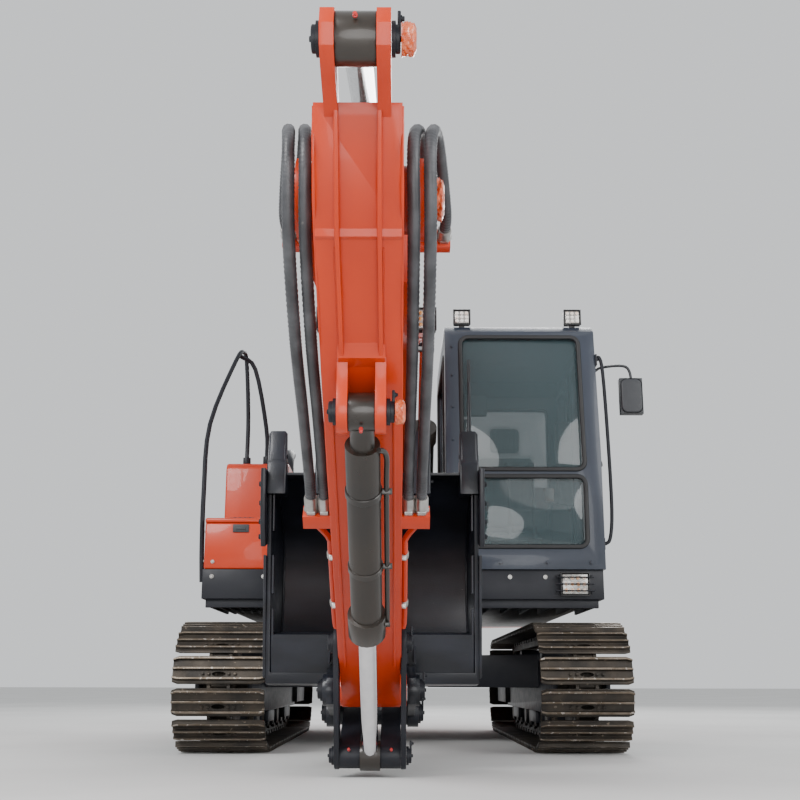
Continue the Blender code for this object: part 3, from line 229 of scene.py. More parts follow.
LOOKS = {
    "orange": dict(name="orange_paint", colour=(0.52, 0.034, 0.001), roughness=0.36,
        tint=(0.43, 0.026, 0.001), patch=1.6, spots=(0.22, 0.030, 0.008), spot_size=34, spot_share=0.245,
        grain=240, bump=0.03, coat=0.18, streak=(1, 1, 0.35), Specular_IOR_Level=0.35),
    "cab_grey": dict(name="cab_paint", colour=(0.030, 0.038, 0.055), roughness=0.34,
        tint=(0.023, 0.029, 0.043), spots=(0.075, 0.078, 0.085), spot_share=0.235, grain=260, bump=0.03,
        coat=0.18, Specular_IOR_Level=0.4),
    "black": dict(name="black_paint", colour=(0.007, 0.008, 0.012), roughness=0.44,
        tint=(0.014, 0.015, 0.020), spots=(0.06, 0.055, 0.05), spot_share=0.26, grain=180, bump=0.05,
        Specular_IOR_Level=0.3),
    "bucket_black": dict(name="bucket_paint", colour=(0.005, 0.006, 0.009), roughness=0.34,
        tint=(0.011, 0.013, 0.020), spots=(0.085, 0.083, 0.085), spot_size=18, spot_share=0.27, grain=120,
        bump=0.07, coat=0.12, streak=(1, 1, 3.2), Specular_IOR_Level=0.35),
    "track_steel": dict(name="track_plate", colour=(0.030, 0.026, 0.022), roughness=0.55,
        tint=(0.062, 0.050, 0.038), patch=7, spots=(0.16, 0.13, 0.10), spot_size=30, spot_share=0.34,
        grain=70, bump=0.22, metallic=0.55, gloss_spread=0.2),
    "worn_steel": dict(name="worn_ridge", colour=(0.20, 0.165, 0.13), roughness=0.42,
        tint=(0.11, 0.085, 0.06), patch=14, spots=(0.40, 0.36, 0.32), spot_size=40, spot_share=0.40,
        grain=90, bump=0.2, metallic=0.8, gloss_spread=0.2),
    "cylinder_black": dict(name="cylinder_paint", colour=(0.024, 0.018, 0.013), roughness=0.32,
        tint=(0.015, 0.012, 0.010), spots=(0.10, 0.08, 0.06), spot_share=0.25, grain=150, bump=0.04,
        coat=0.3, metallic=0.2),
    "chrome": dict(name="rod_chrome", colour=(0.78, 0.78, 0.79), roughness=0.10, tint=(0.70, 0.70, 0.72),
        grain=500, bump=0.01, metallic=1.0, gloss_spread=0.05, streak=(9, 9, 1)),
    "steel": dict(name="zinc_steel", colour=(0.48, 0.47, 0.45), roughness=0.34, tint=(0.36, 0.35, 0.33),
        grain=300, bump=0.05, metallic=0.95, patch=20),
    "seat": dict(name="seat_cloth", colour=(0.022, 0.030, 0.034), roughness=0.82,
        tint=(0.034, 0.045, 0.050), grain=700, bump=0.25, patch=6, Sheen_Weight=0.3),
    "plastic": dict(name="dark_plastic", colour=(0.020, 0.022, 0.026), roughness=0.48,
        tint=(0.028, 0.030, 0.034), grain=420, bump=0.09),
    "rubber": dict(name="hose_rubber", colour=(0.030, 0.031, 0.035), roughness=0.40,
        tint=(0.070, 0.072, 0.078), patch=9, grain=260, bump=0.12, spots=(0.11, 0.105, 0.10),
        spot_share=0.30),
    "seal": dict(name="window_seal", colour=(0.006, 0.006, 0.007), roughness=0.55,
        tint=(0.012, 0.012, 0.013), grain=300, bump=0.08),
    "lamp_black": dict(name="lamp_body", colour=(0.012, 0.012, 0.013), roughness=0.38, grain=300,
        bump=0.05),
    "lamp_lens": dict(name="lamp_lens", colour=(0.40, 0.39, 0.36), roughness=0.18,
        tint=(0.24, 0.23, 0.22), patch=45, grain=400, bump=0.1, metallic=0.5, coat=1.0),
    "amber": dict(name="lamp_amber", colour=(0.62, 0.27, 0.05), roughness=0.2, tint=(0.40, 0.15, 0.02),
        patch=60, grain=400, bump=0.1, coat=1.0),
    "red": dict(name="red_cap", colour=(0.45, 0.012, 0.010), roughness=0.35, grain=300, bump=0.05,
        coat=0.3),
    "wrap": dict(name="orange_wrap", colour=(0.66, 0.13, 0.035), roughness=0.30,
        tint=(0.50, 0.055, 0.008), patch=26, grain=60, bump=0.5, coat=0.6),
    "pale": dict(name="pale_mug", colour=(0.74, 0.72, 0.68), roughness=0.35, tint=(0.62, 0.30, 0.12),
        patch=9, grain=300, bump=0.03),
    "film": dict(name="seat_film", colour=(0.50, 0.60, 0.60), roughness=0.16, tint=(0.42, 0.52, 0.53),
        patch=12, grain=30, bump=0.35, Alpha=0.30, coat=0.5),
    "glass": dict(name="cab_glass", colour=(0.050, 0.085, 0.095), roughness=0.05,
        tint=(0.038, 0.068, 0.076), patch=1.2, grain=4, bump=0.004, gloss_spread=0.03, Alpha=0.46,
        coat=1.0),
    "mirror": dict(name="mirror_face", colour=(0.80, 0.82, 0.84), roughness=0.05, tint=(0.76, 0.78, 0.80),
        grain=6, bump=0.004, metallic=1.0, gloss_spread=0.03),
}


# ---------------------------------------------------------------- shapes, each added to a bmesh
def across(x):
    """Step to the left."""
    return Vector((x, 0, 0))


def rise(z):
    """Step upwards."""
    return Vector((0, 0, z))


def circle(count, radius=1.0, start=0.0):
    """Pairs (radius * cos, radius * sin) evenly round a circle; start is in shares of a step."""
    turns = [2 * math.pi * (i + start) / count for i in range(count)]
    return [(radius * math.cos(a), radius * math.sin(a)) for a in turns]


def join_rings(bm, rings):
    """Faces between rings of points, with both ends closed."""
    sides = len(rings[0])
    for a, b in zip(rings, rings[1:]):
        for i in range(sides):
            j = (i + 1) % sides
            bm.faces.new((a[i], a[j], b[j], b[i]))
    bm.faces.new(rings[0][::-1])
    bm.faces.new(rings[-1])


def add_box(bm, low, high, bevel=0.004, segments=2):
    """Box between two opposite corners, given in any order, edges rounded."""
    low, high = [Vector([choose(pair) for pair in zip(low, high)]) for choose in (min, max)]
    middle = (low + high) / 2
    size = high - low
    place = Matrix.Translation(middle) @ Matrix.Diagonal((*size, 1))
    made = bmesh.ops.create_cube(bm, size=1.0, matrix=place)
    edges = list({e for v in made["verts"] for e in v.link_edges})
    width = min(bevel, min(size) * 0.45)
    bmesh.ops.bevel(bm, geom=edges, offset=width, segments=segments, affect="EDGES", profile=0.5)


def side_frame(direction):
    """Two unit vectors across a direction."""
    direction = direction.normalized()
    spare = Vector((0, 0, 1)) if abs(direction.z) < 0.9 else Vector((1, 0, 0))
    side = direction.cross(spare).normalized()
    return side, direction.cross(side).normalized()


def add_turned(bm, start, end, profile, sides=24):
    """Closed turned solid: profile is (share of the way from start to end, radius)."""
    start, end = Vector(start), Vector(end)
    side, up = side_frame(end - start)
    rings = []
    for share, radius in profile:
        centre = start.lerp(end, share)
        rings.append([bm.verts.new(centre + (side * u + up * v) * radius) for u, v in circle(sides)])
    join_rings(bm, rings)


def add_rod(bm, start, end, radius, sides=20, chamfer=0.0015):
    """Round bar between two points, its ends chamfered."""
    length = max((Vector(end) - Vector(start)).length, 0.001)
    c = min(chamfer / length, 0.2)
    add_turned(bm, start, end, [(0, radius - chamfer), (c, radius), (1 - c, radius), (1, radius - chamfer)],
               sides)


def add_bolt(bm, place, normal, size=0.022, washer=True):
    """Hexagon head with its washer, on a surface at place."""
    place, normal = Vector(place), Vector(normal).normalized()
    if washer:
        add_rod(bm, place - normal * 0.001, place + normal * 0.004, size * 0.82, 20, 0.0008)
    top = place + normal * (0.004 + size * 0.55)
    add_turned(bm, place, top, [(0, size * 0.56), (0.85, size * 0.56), (1, size * 0.46)], 6)


def add_tube(bm, path, radius, sides=12):
    """Round bar along a list of points; radius may be a function of the run along it."""
    run = 0.0
    rings = []
    side = None
    for i, point in enumerate(path):
        ahead = (path[min(i + 1, len(path) - 1)] - path[max(i - 1, 0)]).normalized()
        if side is None:
            side = side_frame(ahead)[0]
        side = (side - ahead * side.dot(ahead)).normalized()
        up = ahead.cross(side)
        if i:
            run += (point - path[i - 1]).length
        ring = []
        for k in range(sides):
            a = 2 * math.pi * k / sides
            size = radius(run, a) if callable(radius) else radius
            ring.append(bm.verts.new(point + (side * math.cos(a) + up * math.sin(a)) * size))
        rings.append(ring)
    join_rings(bm, rings)


def curve_points(points, steps):
    """Smooth Catmull-Rom line through the points."""
    pts = [Vector(p) for p in points]
    line = []
    for i in range(len(pts) - 1):
        p0, p1, p2, p3 = pts[max(i - 1, 0)], pts[i], pts[i + 1], pts[min(i + 2, len(pts) - 1)]
        for k in range(steps):
            t = k / steps
            line.append(0.5 * (2 * p1 + (p2 - p0) * t + (2 * p0 - 5 * p1 + 4 * p2 - p3) * t ** 2
                               + (3 * p1 - p0 - 3 * p2 + p3) * t ** 3))
    line.append(pts[-1])
    return line


def add_plate(bm, outline, shift, bevel=0.003, segments=2):
    """Flat plate: outline points moved along shift, edges rounded."""
    low = [bm.verts.new(Vector(p)) for p in outline]
    high = [bm.verts.new(Vector(p) + Vector(shift)) for p in outline]
    faces = [bm.faces.new(low), bm.faces.new(high[::-1])]
    for i in range(len(low)):
        j = (i + 1) % len(low)
        faces.append(bm.faces.new((low[i], high[i], high[j], low[j])))
    bmesh.ops.recalc_face_normals(bm, faces=faces)
    if bevel:
        edges = list({e for f in faces[:2] for e in f.edges})
        bmesh.ops.bevel(bm, geom=edges, offset=bevel, segments=segments, affect="EDGES", profile=0.5)


def round_corners(x0, x1, z0, z1, radius, steps=5):
    """Outline of a rectangle with rounded corners."""
    points = []
    corners = ((x1 - radius, z1 - radius, 0), (x0 + radius, z1 - radius, 90),
               (x0 + radius, z0 + radius, 180), (x1 - radius, z0 + radius, 270))
    for cx, cz, turn in corners:
        for i in range(steps + 1):
            a = math.radians(turn + 90.0 * i / steps)
            points.append((cx + radius * math.cos(a), cz + radius * math.sin(a)))
    return points


def piece(name, bm, material, body, angle=35):
    """Links the bmesh as a finished piece that rides on a body, or is left unattached where body is None."""
    bmesh.ops.recalc_face_normals(bm, faces=bm.faces)
    mesh = bpy.data.meshes.new(name)
    bm.to_mesh(mesh)
    bm.free()
    mesh.shade_smooth()
    mesh.set_sharp_from_angle(angle=math.radians(angle))
    mesh.materials.append(MATERIAL[material])
    made = bpy.data.objects.new(name, mesh)
    bpy.context.scene.collection.objects.link(made)
    if body:
        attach(made, body)
    return made


# ---------------------------------------------------------------- carried-over shapes with rounded edges
MERGE_DISTANCE = 0.00002
FLAT_ANGLE = math.radians(0.5)
SHARP_ANGLE = math.radians(32)


def soften(node, material, width=0.006):
    """A copy of a CAD node with its sharp edges rounded, in place of the node."""
    bm = bmesh.new()
    bm.from_mesh(NODES[node].data)
    bmesh.ops.remove_doubles(bm, verts=bm.verts, dist=MERGE_DISTANCE)
    bmesh.ops.dissolve_limit(bm, angle_limit=FLAT_ANGLE, verts=bm.verts, edges=bm.edges)
    sharp = [e for e in bm.edges if e.is_manifold and e.calc_face_angle(0) > SHARP_ANGLE]
    bmesh.ops.bevel(bm, geom=sharp, offset=width, segments=2, affect="EDGES", profile=0.5, clamp_overlap=True)
    look = piece(node + "_look", bm, material, NODE_BODY[node])
    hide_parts(node)
    return look


# ---------------------------------------------------------------- hoses beside the arm
HOSE_RADIUS = 0.024
HOSE_START = -0.60
HOSE_END = 1.40
EYE_REACH = 0.125      # of a rod eye's paint, from its pin
GUARD_PITCH = 0.016
GUARD_HEIGHT = 0.0014


def make_hose(name, beside_boom, over_pin, beside_arm):
    """A hose in a spiral guard, from the boom's pipe block over the pin and down the arm's side."""
    route = [on_boom(BOOM_LENGTH + HOSE_START + run, 0.14, beside_boom) for run in (0.0, 0.03, 0.06)]
    route.append(on_boom(BOOM_LENGTH - 0.40, 0.17, beside_boom))
    route.append(on_boom(BOOM_LENGTH - 0.10, 0.30, (beside_boom + over_pin) / 2))
    route += [on_arm(-0.26, 0.06, over_pin), on_arm(0.0, 0.25, over_pin), on_arm(0.45, 0.25, over_pin)]
    route += [on_arm(0.85, 0.19, (over_pin + beside_arm) / 2), on_arm(1.22, 0.15, beside_arm)]
    route += [on_arm(HOSE_END - run, 0.15, beside_arm) for run in (0.06, 0.03, 0.0)]
    path = curve_points(route, 50)
    length = sum((b - a).length for a, b in zip(path, path[1:]))

    def guarded(run, around):
        near_end = min(run, length - run)
        turn = 2 * math.pi * run / GUARD_PITCH + around
        ridge = GUARD_HEIGHT * math.sin(turn) if near_end > 0.05 else 0.0
        return HOSE_RADIUS - GUARD_HEIGHT + ridge

    bm = bmesh.new()
    add_tube(bm, path, guarded, 10)
    hose = piece(name + "_look", bm, "rubber", None, 60)
    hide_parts(name)
    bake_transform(hose)
    for end, inward, body in ((path[0], path[2] - path[0], "boom"), (path[-1], path[-3] - path[-1], "arm")):
        inward = inward.normalized()
        bm = bmesh.new()
        add_turned(bm, end - inward * 0.004, end + inward * 0.085,
                   [(0, 0.026), (0.25, 0.026), (0.28, 0.029), (0.90, 0.029), (1, 0.026)], 20)
        add_turned(bm, end - inward * 0.012, end + inward * 0.022, [(0, 0.030), (0.1, 0.033), (0.9, 0.033),
                                                                      (1, 0.030)], 6)
        piece(f"{name}_{body}_crimp", bm, "steel", body)


def make_hoses():
    """Two hoses either side, an inner and an outer."""
    for side, s in (("right", -1), ("left", 1)):
        make_hose(side + "_inner_hose", s * 0.265, s * 0.188, s * 0.180)
        make_hose(side + "_outer_hose", s * 0.325, s * 0.246, s * 0.236)


# ---------------------------------------------------------------- tracks
SHOES_STRAIGHT = 18
SHOES_END = 6
SHOE_HALF = 0.30
RIDGES = (-0.075, -0.008, 0.059)
RIDGE_HEIGHT = 0.023
SHOE_THICK = 0.014
GROUSER = 0.024        # from the shoe's plate out to the track's outline
LINK_HALF = 0.082      # half the distance between a link's round ends
LINK_DEPTH = -0.052
SPROCKET_TEETH = 21
ROLLERS = 8
ROLLER_SPAN = 2.64 - 0.30
RAIL_HALF = 0.190


def shoe_profile(shrink=1.0):
    """Side outline of a shoe: a plate with three ridges, (along the track, outward)."""
    points = [(-0.090, -SHOE_THICK), (-0.092, 0.0)]
    for at in RIDGES:
        points += [(at - 0.011, 0.0), (at - 0.0065, RIDGE_HEIGHT), (at + 0.0065, RIDGE_HEIGHT),
                   (at + 0.011, 0.0)]
    points += [(0.082, 0.0), (0.091, -0.007), (0.088, -SHOE_THICK)]
    return [(t * shrink, n) for t, n in points]


def shoe_mesh():
    """One triple-ridge shoe with clipped corners, a mud hole and four bolts; its ridge tips are worn."""
    bm = bmesh.new()
    rings = []
    for x, shrink in ((-SHOE_HALF, 0.86), (-SHOE_HALF + 0.035, 1), (SHOE_HALF - 0.035, 1), (SHOE_HALF, 0.86)):
        rings.append([bm.verts.new((x, t, n)) for t, n in shoe_profile(shrink)])
    join_rings(bm, rings)
    bmesh.ops.recalc_face_normals(bm, faces=bm.faces)
    edges = [e for e in bm.edges if e.calc_face_angle(0) > math.radians(40)]
    bmesh.ops.bevel(bm, geom=edges, offset=0.0016, segments=1, affect="EDGES", clamp_overlap=True)
    shoe = bpy.data.meshes.new("shoe")
    bm.to_mesh(shoe)
    bm.free()
    holder = bpy.data.objects.new("shoe", shoe)
    bm = bmesh.new()
    oval = [(0.045 * u, 0.026 + 0.016 * v, -0.05) for u, v in circle(20)]
    add_plate(bm, oval, (0, 0, 0.1), bevel=0)
    hole_mesh = bpy.data.meshes.new("mud_hole")
    bm.to_mesh(hole_mesh)
    bm.free()
    hole = bpy.data.objects.new("mud_hole", hole_mesh)
    for made in (holder, hole):
        bpy.context.scene.collection.objects.link(made)
    cut = holder.modifiers.new("cut", "BOOLEAN")
    cut.operation = "DIFFERENCE"
    cut.object = hole
    bpy.context.view_layer.update()
    bm = bmesh.new()
    bm.from_object(holder, bpy.context.evaluated_depsgraph_get())
    for made in (holder, hole):
        bpy.data.objects.remove(made)
    for face in bm.faces:
        face.material_index = 1 if face.calc_center_median().z > RIDGE_HEIGHT - 0.004 else 0
    for x in (-0.105, -0.065, 0.065, 0.105):
        add_bolt(bm, (x, 0.026, 0.0), (0, 0, 1), 0.017)
    mesh = bpy.data.meshes.new("shoe_done")
    bm.to_mesh(mesh)
    bm.free()
    return mesh


def link_mesh():
    """One chain link: two side plates with round ends, and the bushing between them."""
    bm = bmesh.new()
    for s in (-1, 1):
        outline = []
        for centre, start in ((LINK_HALF, -90), (-LINK_HALF, 90)):
            for turn in range(start, start + 181, 30):
                a = math.radians(turn)
                outline.append((s * 0.052, centre + 0.034 * math.cos(a), LINK_DEPTH + 0.034 * math.sin(a)))
        add_plate(bm, outline, (s * 0.024, 0, 0), 0.002, 1)
        add_box(bm, (s * 0.045, -0.05, -0.040), (s * 0.085, 0.05, -0.0142), 0.003, 1)
    add_rod(bm, (-0.050, LINK_HALF, LINK_DEPTH), (0.050, LINK_HALF, LINK_DEPTH), 0.027, 14)
    mesh = bpy.data.meshes.new("link_done")
    bm.to_mesh(mesh)
    bm.free()
    return mesh


def track_places(middle, half, radius):
    """Place, forward direction and outward direction of each shoe round the loop."""
    places = []
    pitch = 2 * half / SHOES_STRAIGHT
    for i in range(SHOES_STRAIGHT):
        run = -half + pitch * (i + 0.5)
        places.append((middle + Vector((0, run, -radius)), Vector((0, 1, 0)), Vector((0, 0, -1))))
        places.append((middle + Vector((0, -run, radius)), Vector((0, -1, 0)), Vector((0, 0, 1))))
    for end in (-1, 1):
        for i in range(SHOES_END):
            a = math.radians(-90 + 180.0 * (i + 0.5) / SHOES_END)
            out = Vector((0, end * math.cos(a), math.sin(a)))
            ahead = Vector((0, -end * math.sin(a), math.cos(a))) * end
            places.append((middle + Vector((0, end * half, 0)) + out * (radius - 0.010), ahead, out))
    return places


def copy_round(bm, mesh, places):
    """Adds a copy of a mesh at each place of a track."""
    for place, ahead, out in places:
        turn = Matrix((ahead.cross(out), ahead, out)).transposed().to_4x4()
        before = len(bm.verts)
        bm.from_mesh(mesh)
        bm.verts.ensure_lookup_table()
        fresh = bm.verts[before:]
        bmesh.ops.transform(bm, matrix=Matrix.Translation(place) @ turn, verts=fresh)


def make_tracks():
    """Shoes, chain, wheels and rail detail of both tracks."""
    shoe, link = shoe_mesh(), link_mesh()
    for side in ("left", "right"):
        node = side + "_track"
        low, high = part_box(node)
        middle = (low + high) / 2
        radius = (high.z - low.z) / 2
        half = (high.y - low.y) / 2 - radius
        places = track_places(middle, half, radius - GROUSER)
        bm = bmesh.new()
        copy_round(bm, shoe, places)
        shoes = piece(side + "_shoes", bm, "track_steel", "undercarriage", 30)
        shoes.data.materials.append(MATERIAL["worn_steel"])
        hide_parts(node)
        bm = bmesh.new()
        copy_round(bm, link, places)
        piece(side + "_chain", bm, "track_steel", "undercarriage", 30)
        inward = -1 if side == "left" else 1
        make_wheels(side, inward, middle, half)
        make_rail_detail(side, inward, middle)


def make_wheels(side, inward, middle, half):
    """Sprocket with teeth at the rear and a flanged idler at the front."""
    bm = bmesh.new()
    rear = middle + Vector((0, half, 0))
    outline = []
    for i in range(SPROCKET_TEETH * 4):
        radius = (0.288, 0.288, 0.322, 0.322)[i % 4]
        a = 2 * math.pi * (i + 0.5) / (SPROCKET_TEETH * 4)
        outline.append(rear + Vector((-0.030, radius * math.cos(a), radius * math.sin(a))))
    add_plate(bm, outline, (0.060, 0, 0), 0.003, 1)
    hub = -inward
    add_turned(bm, rear + across(-hub * 0.10), rear + across(hub * 0.170),
               [(0, 0.20), (0.45, 0.205), (0.46, 0.185), (0.90, 0.175), (0.97, 0.150), (1, 0.140)], 40)
    for y, z in circle(12, 0.240):
        add_bolt(bm, rear + Vector((hub * 0.030, y, z)), (hub, 0, 0), 0.024)
    for y, z in circle(8, 0.115, 0.5):
        add_bolt(bm, rear + Vector((hub * 0.168, y, z)), (hub, 0, 0), 0.016)
    add_turned(bm, rear + across(inward * 0.10), rear + across(inward * 0.189),
               [(0, 0.17), (0.9, 0.165), (1, 0.155)], 36)
    sprocket = piece(side + "_sprocket_look", bm, "track_steel", "undercarriage")
    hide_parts(side + "_sprocket")
    bm = bmesh.new()
    front = middle - Vector((0, half, 0))
    add_turned(bm, front + across(-0.075), front + across(0.075),
               [(0, 0.10), (0.02, 0.270), (0.10, 0.286), (0.16, 0.286), (0.19, 0.305), (0.20, 0.318),
                (0.80, 0.318), (0.81, 0.305), (0.84, 0.286), (0.90, 0.286), (0.98, 0.270), (1, 0.10)], 48)
    add_rod(bm, front - across(0.158), front + across(0.158), 0.055, 24)
    idler = piece(side + "_idler_look", bm, "track_steel", "undercarriage")
    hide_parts(side + "_idler")


def make_rail_detail(side, inward, middle):
    """Roller flanges and caps, frame bolts, the grease valve cover and the chain guides."""
    soften(side + "_track_frame", "black", 0.005)
    bm = bmesh.new()
    for i in range(ROLLERS):
        y = middle.y - ROLLER_SPAN / 2 + ROLLER_SPAN * i / (ROLLERS - 1)
        for s in (-1, 1):
            start = Vector((middle.x + s * 0.085, y, 0.207))
            add_turned(bm, start, start + across(s * 0.070),
                       [(0, 0.092), (0.25, 0.094), (0.30, 0.112), (0.62, 0.112), (0.70, 0.075), (1, 0.070)],
                       28)
    piece(side + "_roller_flanges", bm, "track_steel", "undercarriage")
    bm = bmesh.new()
    face = middle.x - inward * RAIL_HALF
    for i in range(ROLLERS - 1):
        y = middle.y - ROLLER_SPAN / 2 + ROLLER_SPAN * (i + 0.5) / (ROLLERS - 1)
        for z in (0.285, 0.565):
            add_bolt(bm, (face, y, z), (-inward, 0, 0), 0.019)
    cover = face - inward * 0.010
    add_box(bm, (face, middle.y - 0.95, 0.36), (cover, middle.y - 0.72, 0.50), 0.004)
    for y in (-0.93, -0.74):
        for z in (0.38, 0.48):
            add_bolt(bm, (cover, middle.y + y, z), (-inward, 0, 0), 0.012)
    piece(side + "_rail_bolts", bm, "black", "undercarriage")
    bm = bmesh.new()
    for s in (-1, 1):
        for y in (-0.62, 0.62):
            add_box(bm, (middle.x + s * 0.150, middle.y + y - 0.20, 0.165),
                    (middle.x + s * 0.186, middle.y + y + 0.20, 0.2495), 0.005)
    piece(side + "_chain_guides", bm, "black", "undercarriage")


# ---------------------------------------------------------------- arm, boom and links
def add_pin(bm, centre, inner, outer, radius):
    """Pin ends either side of a centre: a collar and a chamfered end, with a keeper plate on the left."""
    for s in (-1, 1):
        end = centre + across(s * outer)
        add_turned(bm, centre + across(s * inner), end,
                   [(0, radius * 1.25), (0.45, radius * 1.25), (0.5, radius), (0.9, radius),
                    (1, radius * 0.9)], 28)
        add_rod(bm, end - across(s * 0.001), end + across(s * 0.007), radius * 0.22, 10)
    add_box(bm, centre + Vector((outer - 0.010, -radius * 0.45, radius * 0.3)),
            centre + Vector((outer + 0.001, radius * 0.45, radius * 2.0)), 0.003)
    add_bolt(bm, centre + Vector((outer + 0.001, 0, radius * 1.62)), (1, 0, 0), radius * 0.32)


def add_nipple(bm, place, normal):
    """A grease nipple standing on a surface."""
    normal = Vector(normal).normalized()
    add_turned(bm, place, Vector(place) + normal * 0.022,
               [(0, 0.008), (0.3, 0.008), (0.34, 0.0055), (0.7, 0.0055), (0.85, 0.0068), (1, 0.0045)], 12)


def weld_line(bm, points, radius=0.005):
    """A weld bead with its ripples."""
    add_tube(bm, curve_points(points, 16), lambda run, around: radius * (1 + 0.14 * math.sin(run * 900)), 6)


def make_arm_detail():
    """Ribs, welds, pins, grease nipples and the pipes that take over from the hoses."""
    soften("arm", "orange", 0.005)
    bm = bmesh.new()
    for s in (-1, 1):
        rib = arm_line(((-0.43, 0.170), (-0.06, 0.348), (0.45, 0.315), (0.47, 0.340), (-0.07, 0.376),
                        (-0.445, 0.194)), s * 0.072 - 0.008)
        add_plate(bm, rib, (0.016, 0, 0), 0.003)
        skirt = arm_line(((0.75, 0.290), (2.45, 0.118), (2.45, 0.132), (0.75, 0.306)), s * 0.120 - 0.006)
        add_plate(bm, skirt, (0.012, 0, 0), 0.002)
    bend = arm_line(((-0.075, 0.345), (-0.050, 0.362), (-0.035, 0.355), (-0.060, 0.338)), -ARM_HALF)
    add_plate(bm, bend, (2 * ARM_HALF, 0, 0), 0.002)
    lug = arm_line(((0.40, 0.315), (0.46, 0.345), (0.52, 0.315)), -0.088)
    add_plate(bm, lug, (0.176, 0, 0), 0.002)
    piece("arm_ribs", bm, "orange", "arm")
    bm = bmesh.new()
    for s in (-1, 1):
        weld_line(bm, arm_line(((-0.42, 0.15), (-0.06, 0.335), (0.9, 0.268), (2.5, 0.102)),
                               s * (ARM_HALF + 0.001)))
        weld_line(bm, arm_line(((0.0, 0.350), (0.2, 0.334), (0.42, 0.319)), s * 0.083), 0.004)
    piece("arm_welds", bm, "orange", "arm")
    bm = bmesh.new()
    add_pin(bm, TAIL_PIN, 0.112, 0.140, 0.045)
    add_pin(bm, CURL_PIN, 0.092, 0.122, 0.040)
    add_pin(bm, GUIDE_PIN, ARM_HALF + 0.032, ARM_HALF + 0.060, 0.040)
    piece("arm_pins", bm, "black", "arm")
    bm = bmesh.new()
    add_nipple(bm, on_arm(-0.745, 0.235), ARM_OUT - ARM_LINE)
    add_nipple(bm, on_arm(0.66, 0.506), ARM_OUT)
    piece("arm_nipples", bm, "red", "arm")
    bm = bmesh.new()
    for s in (-1, 1):
        route = [on_arm(along, out, s * x) for along, out, x in
                 ((1.412, 0.150, 0.236), (1.47, 0.140, 0.228), (1.60, 0.105, 0.172), (1.70, 0.095, 0.166),
                  (2.16, 0.06, 0.166), (2.24, 0.06, 0.160))]
        add_tube(bm, curve_points(route, 10), 0.014, 14)
    piece("arm_pipes", bm, "orange", "arm")
    bm = bmesh.new()
    for s in (-1, 1):
        for along, out in ((1.72, 0.090), (2.06, 0.067)):
            centre = on_arm(along, out, s * 0.166)
            add_turned(bm, centre - ARM_LINE * 0.018, centre + ARM_LINE * 0.018,
                       [(0, 0.017), (0.1, 0.019), (0.9, 0.019), (1, 0.017)], 20)
            tab = on_arm(along, out + 0.022, s * 0.162)
            corner = Vector((0.012, 0.012, 0.012))
            add_box(bm, tab - corner, tab + corner, 0.003)
    piece("pipe_clamps", bm, "steel", "arm")
    bm = bmesh.new()
    for s in (-1, 1):
        centre = ARM_PIN + across(s * 0.233)
        add_turned(bm, centre, centre + across(s * 0.026),
                   [(0, 0.110), (0.2, 0.115), (0.75, 0.115), (1, 0.105)], 40)
        for y, z in circle(6, 0.085):
            add_bolt(bm, centre + Vector((s * 0.026, y, z)), (s, 0, 0), 0.014)
    piece("boom_pin_collars", bm, "orange", "boom")


def crumpled(name, centre, inner, outer, radius, body):
    """Pin end in crumpled protective wrap: a lumpy turned skin, gathered at its end."""
    bm = bmesh.new()
    sides, rings = 36, 12
    start, axis = centre + across(inner), across(outer - inner)
    loops = []
    for k in range(rings + 1):
        share = k / rings
        ring = []
        for i in range(sides):
            a = 2 * math.pi * i / sides
            lump = 0.06 * math.sin(5 * a + 9 * share) + 0.045 * math.sin(11 * a - 13 * share)
            lump += 0.04 * math.sin(17 * a + 31 * share)
            size = radius * (1 + lump) * (1 - 0.35 * max(0.0, share - 0.8) / 0.2)
            spot = start + axis * share + Vector((0, size * math.cos(a), size * math.sin(a)))
            ring.append(bm.verts.new(spot))
        loops.append(ring)
    join_rings(bm, loops)
    piece(name, bm, "wrap", body, 25)


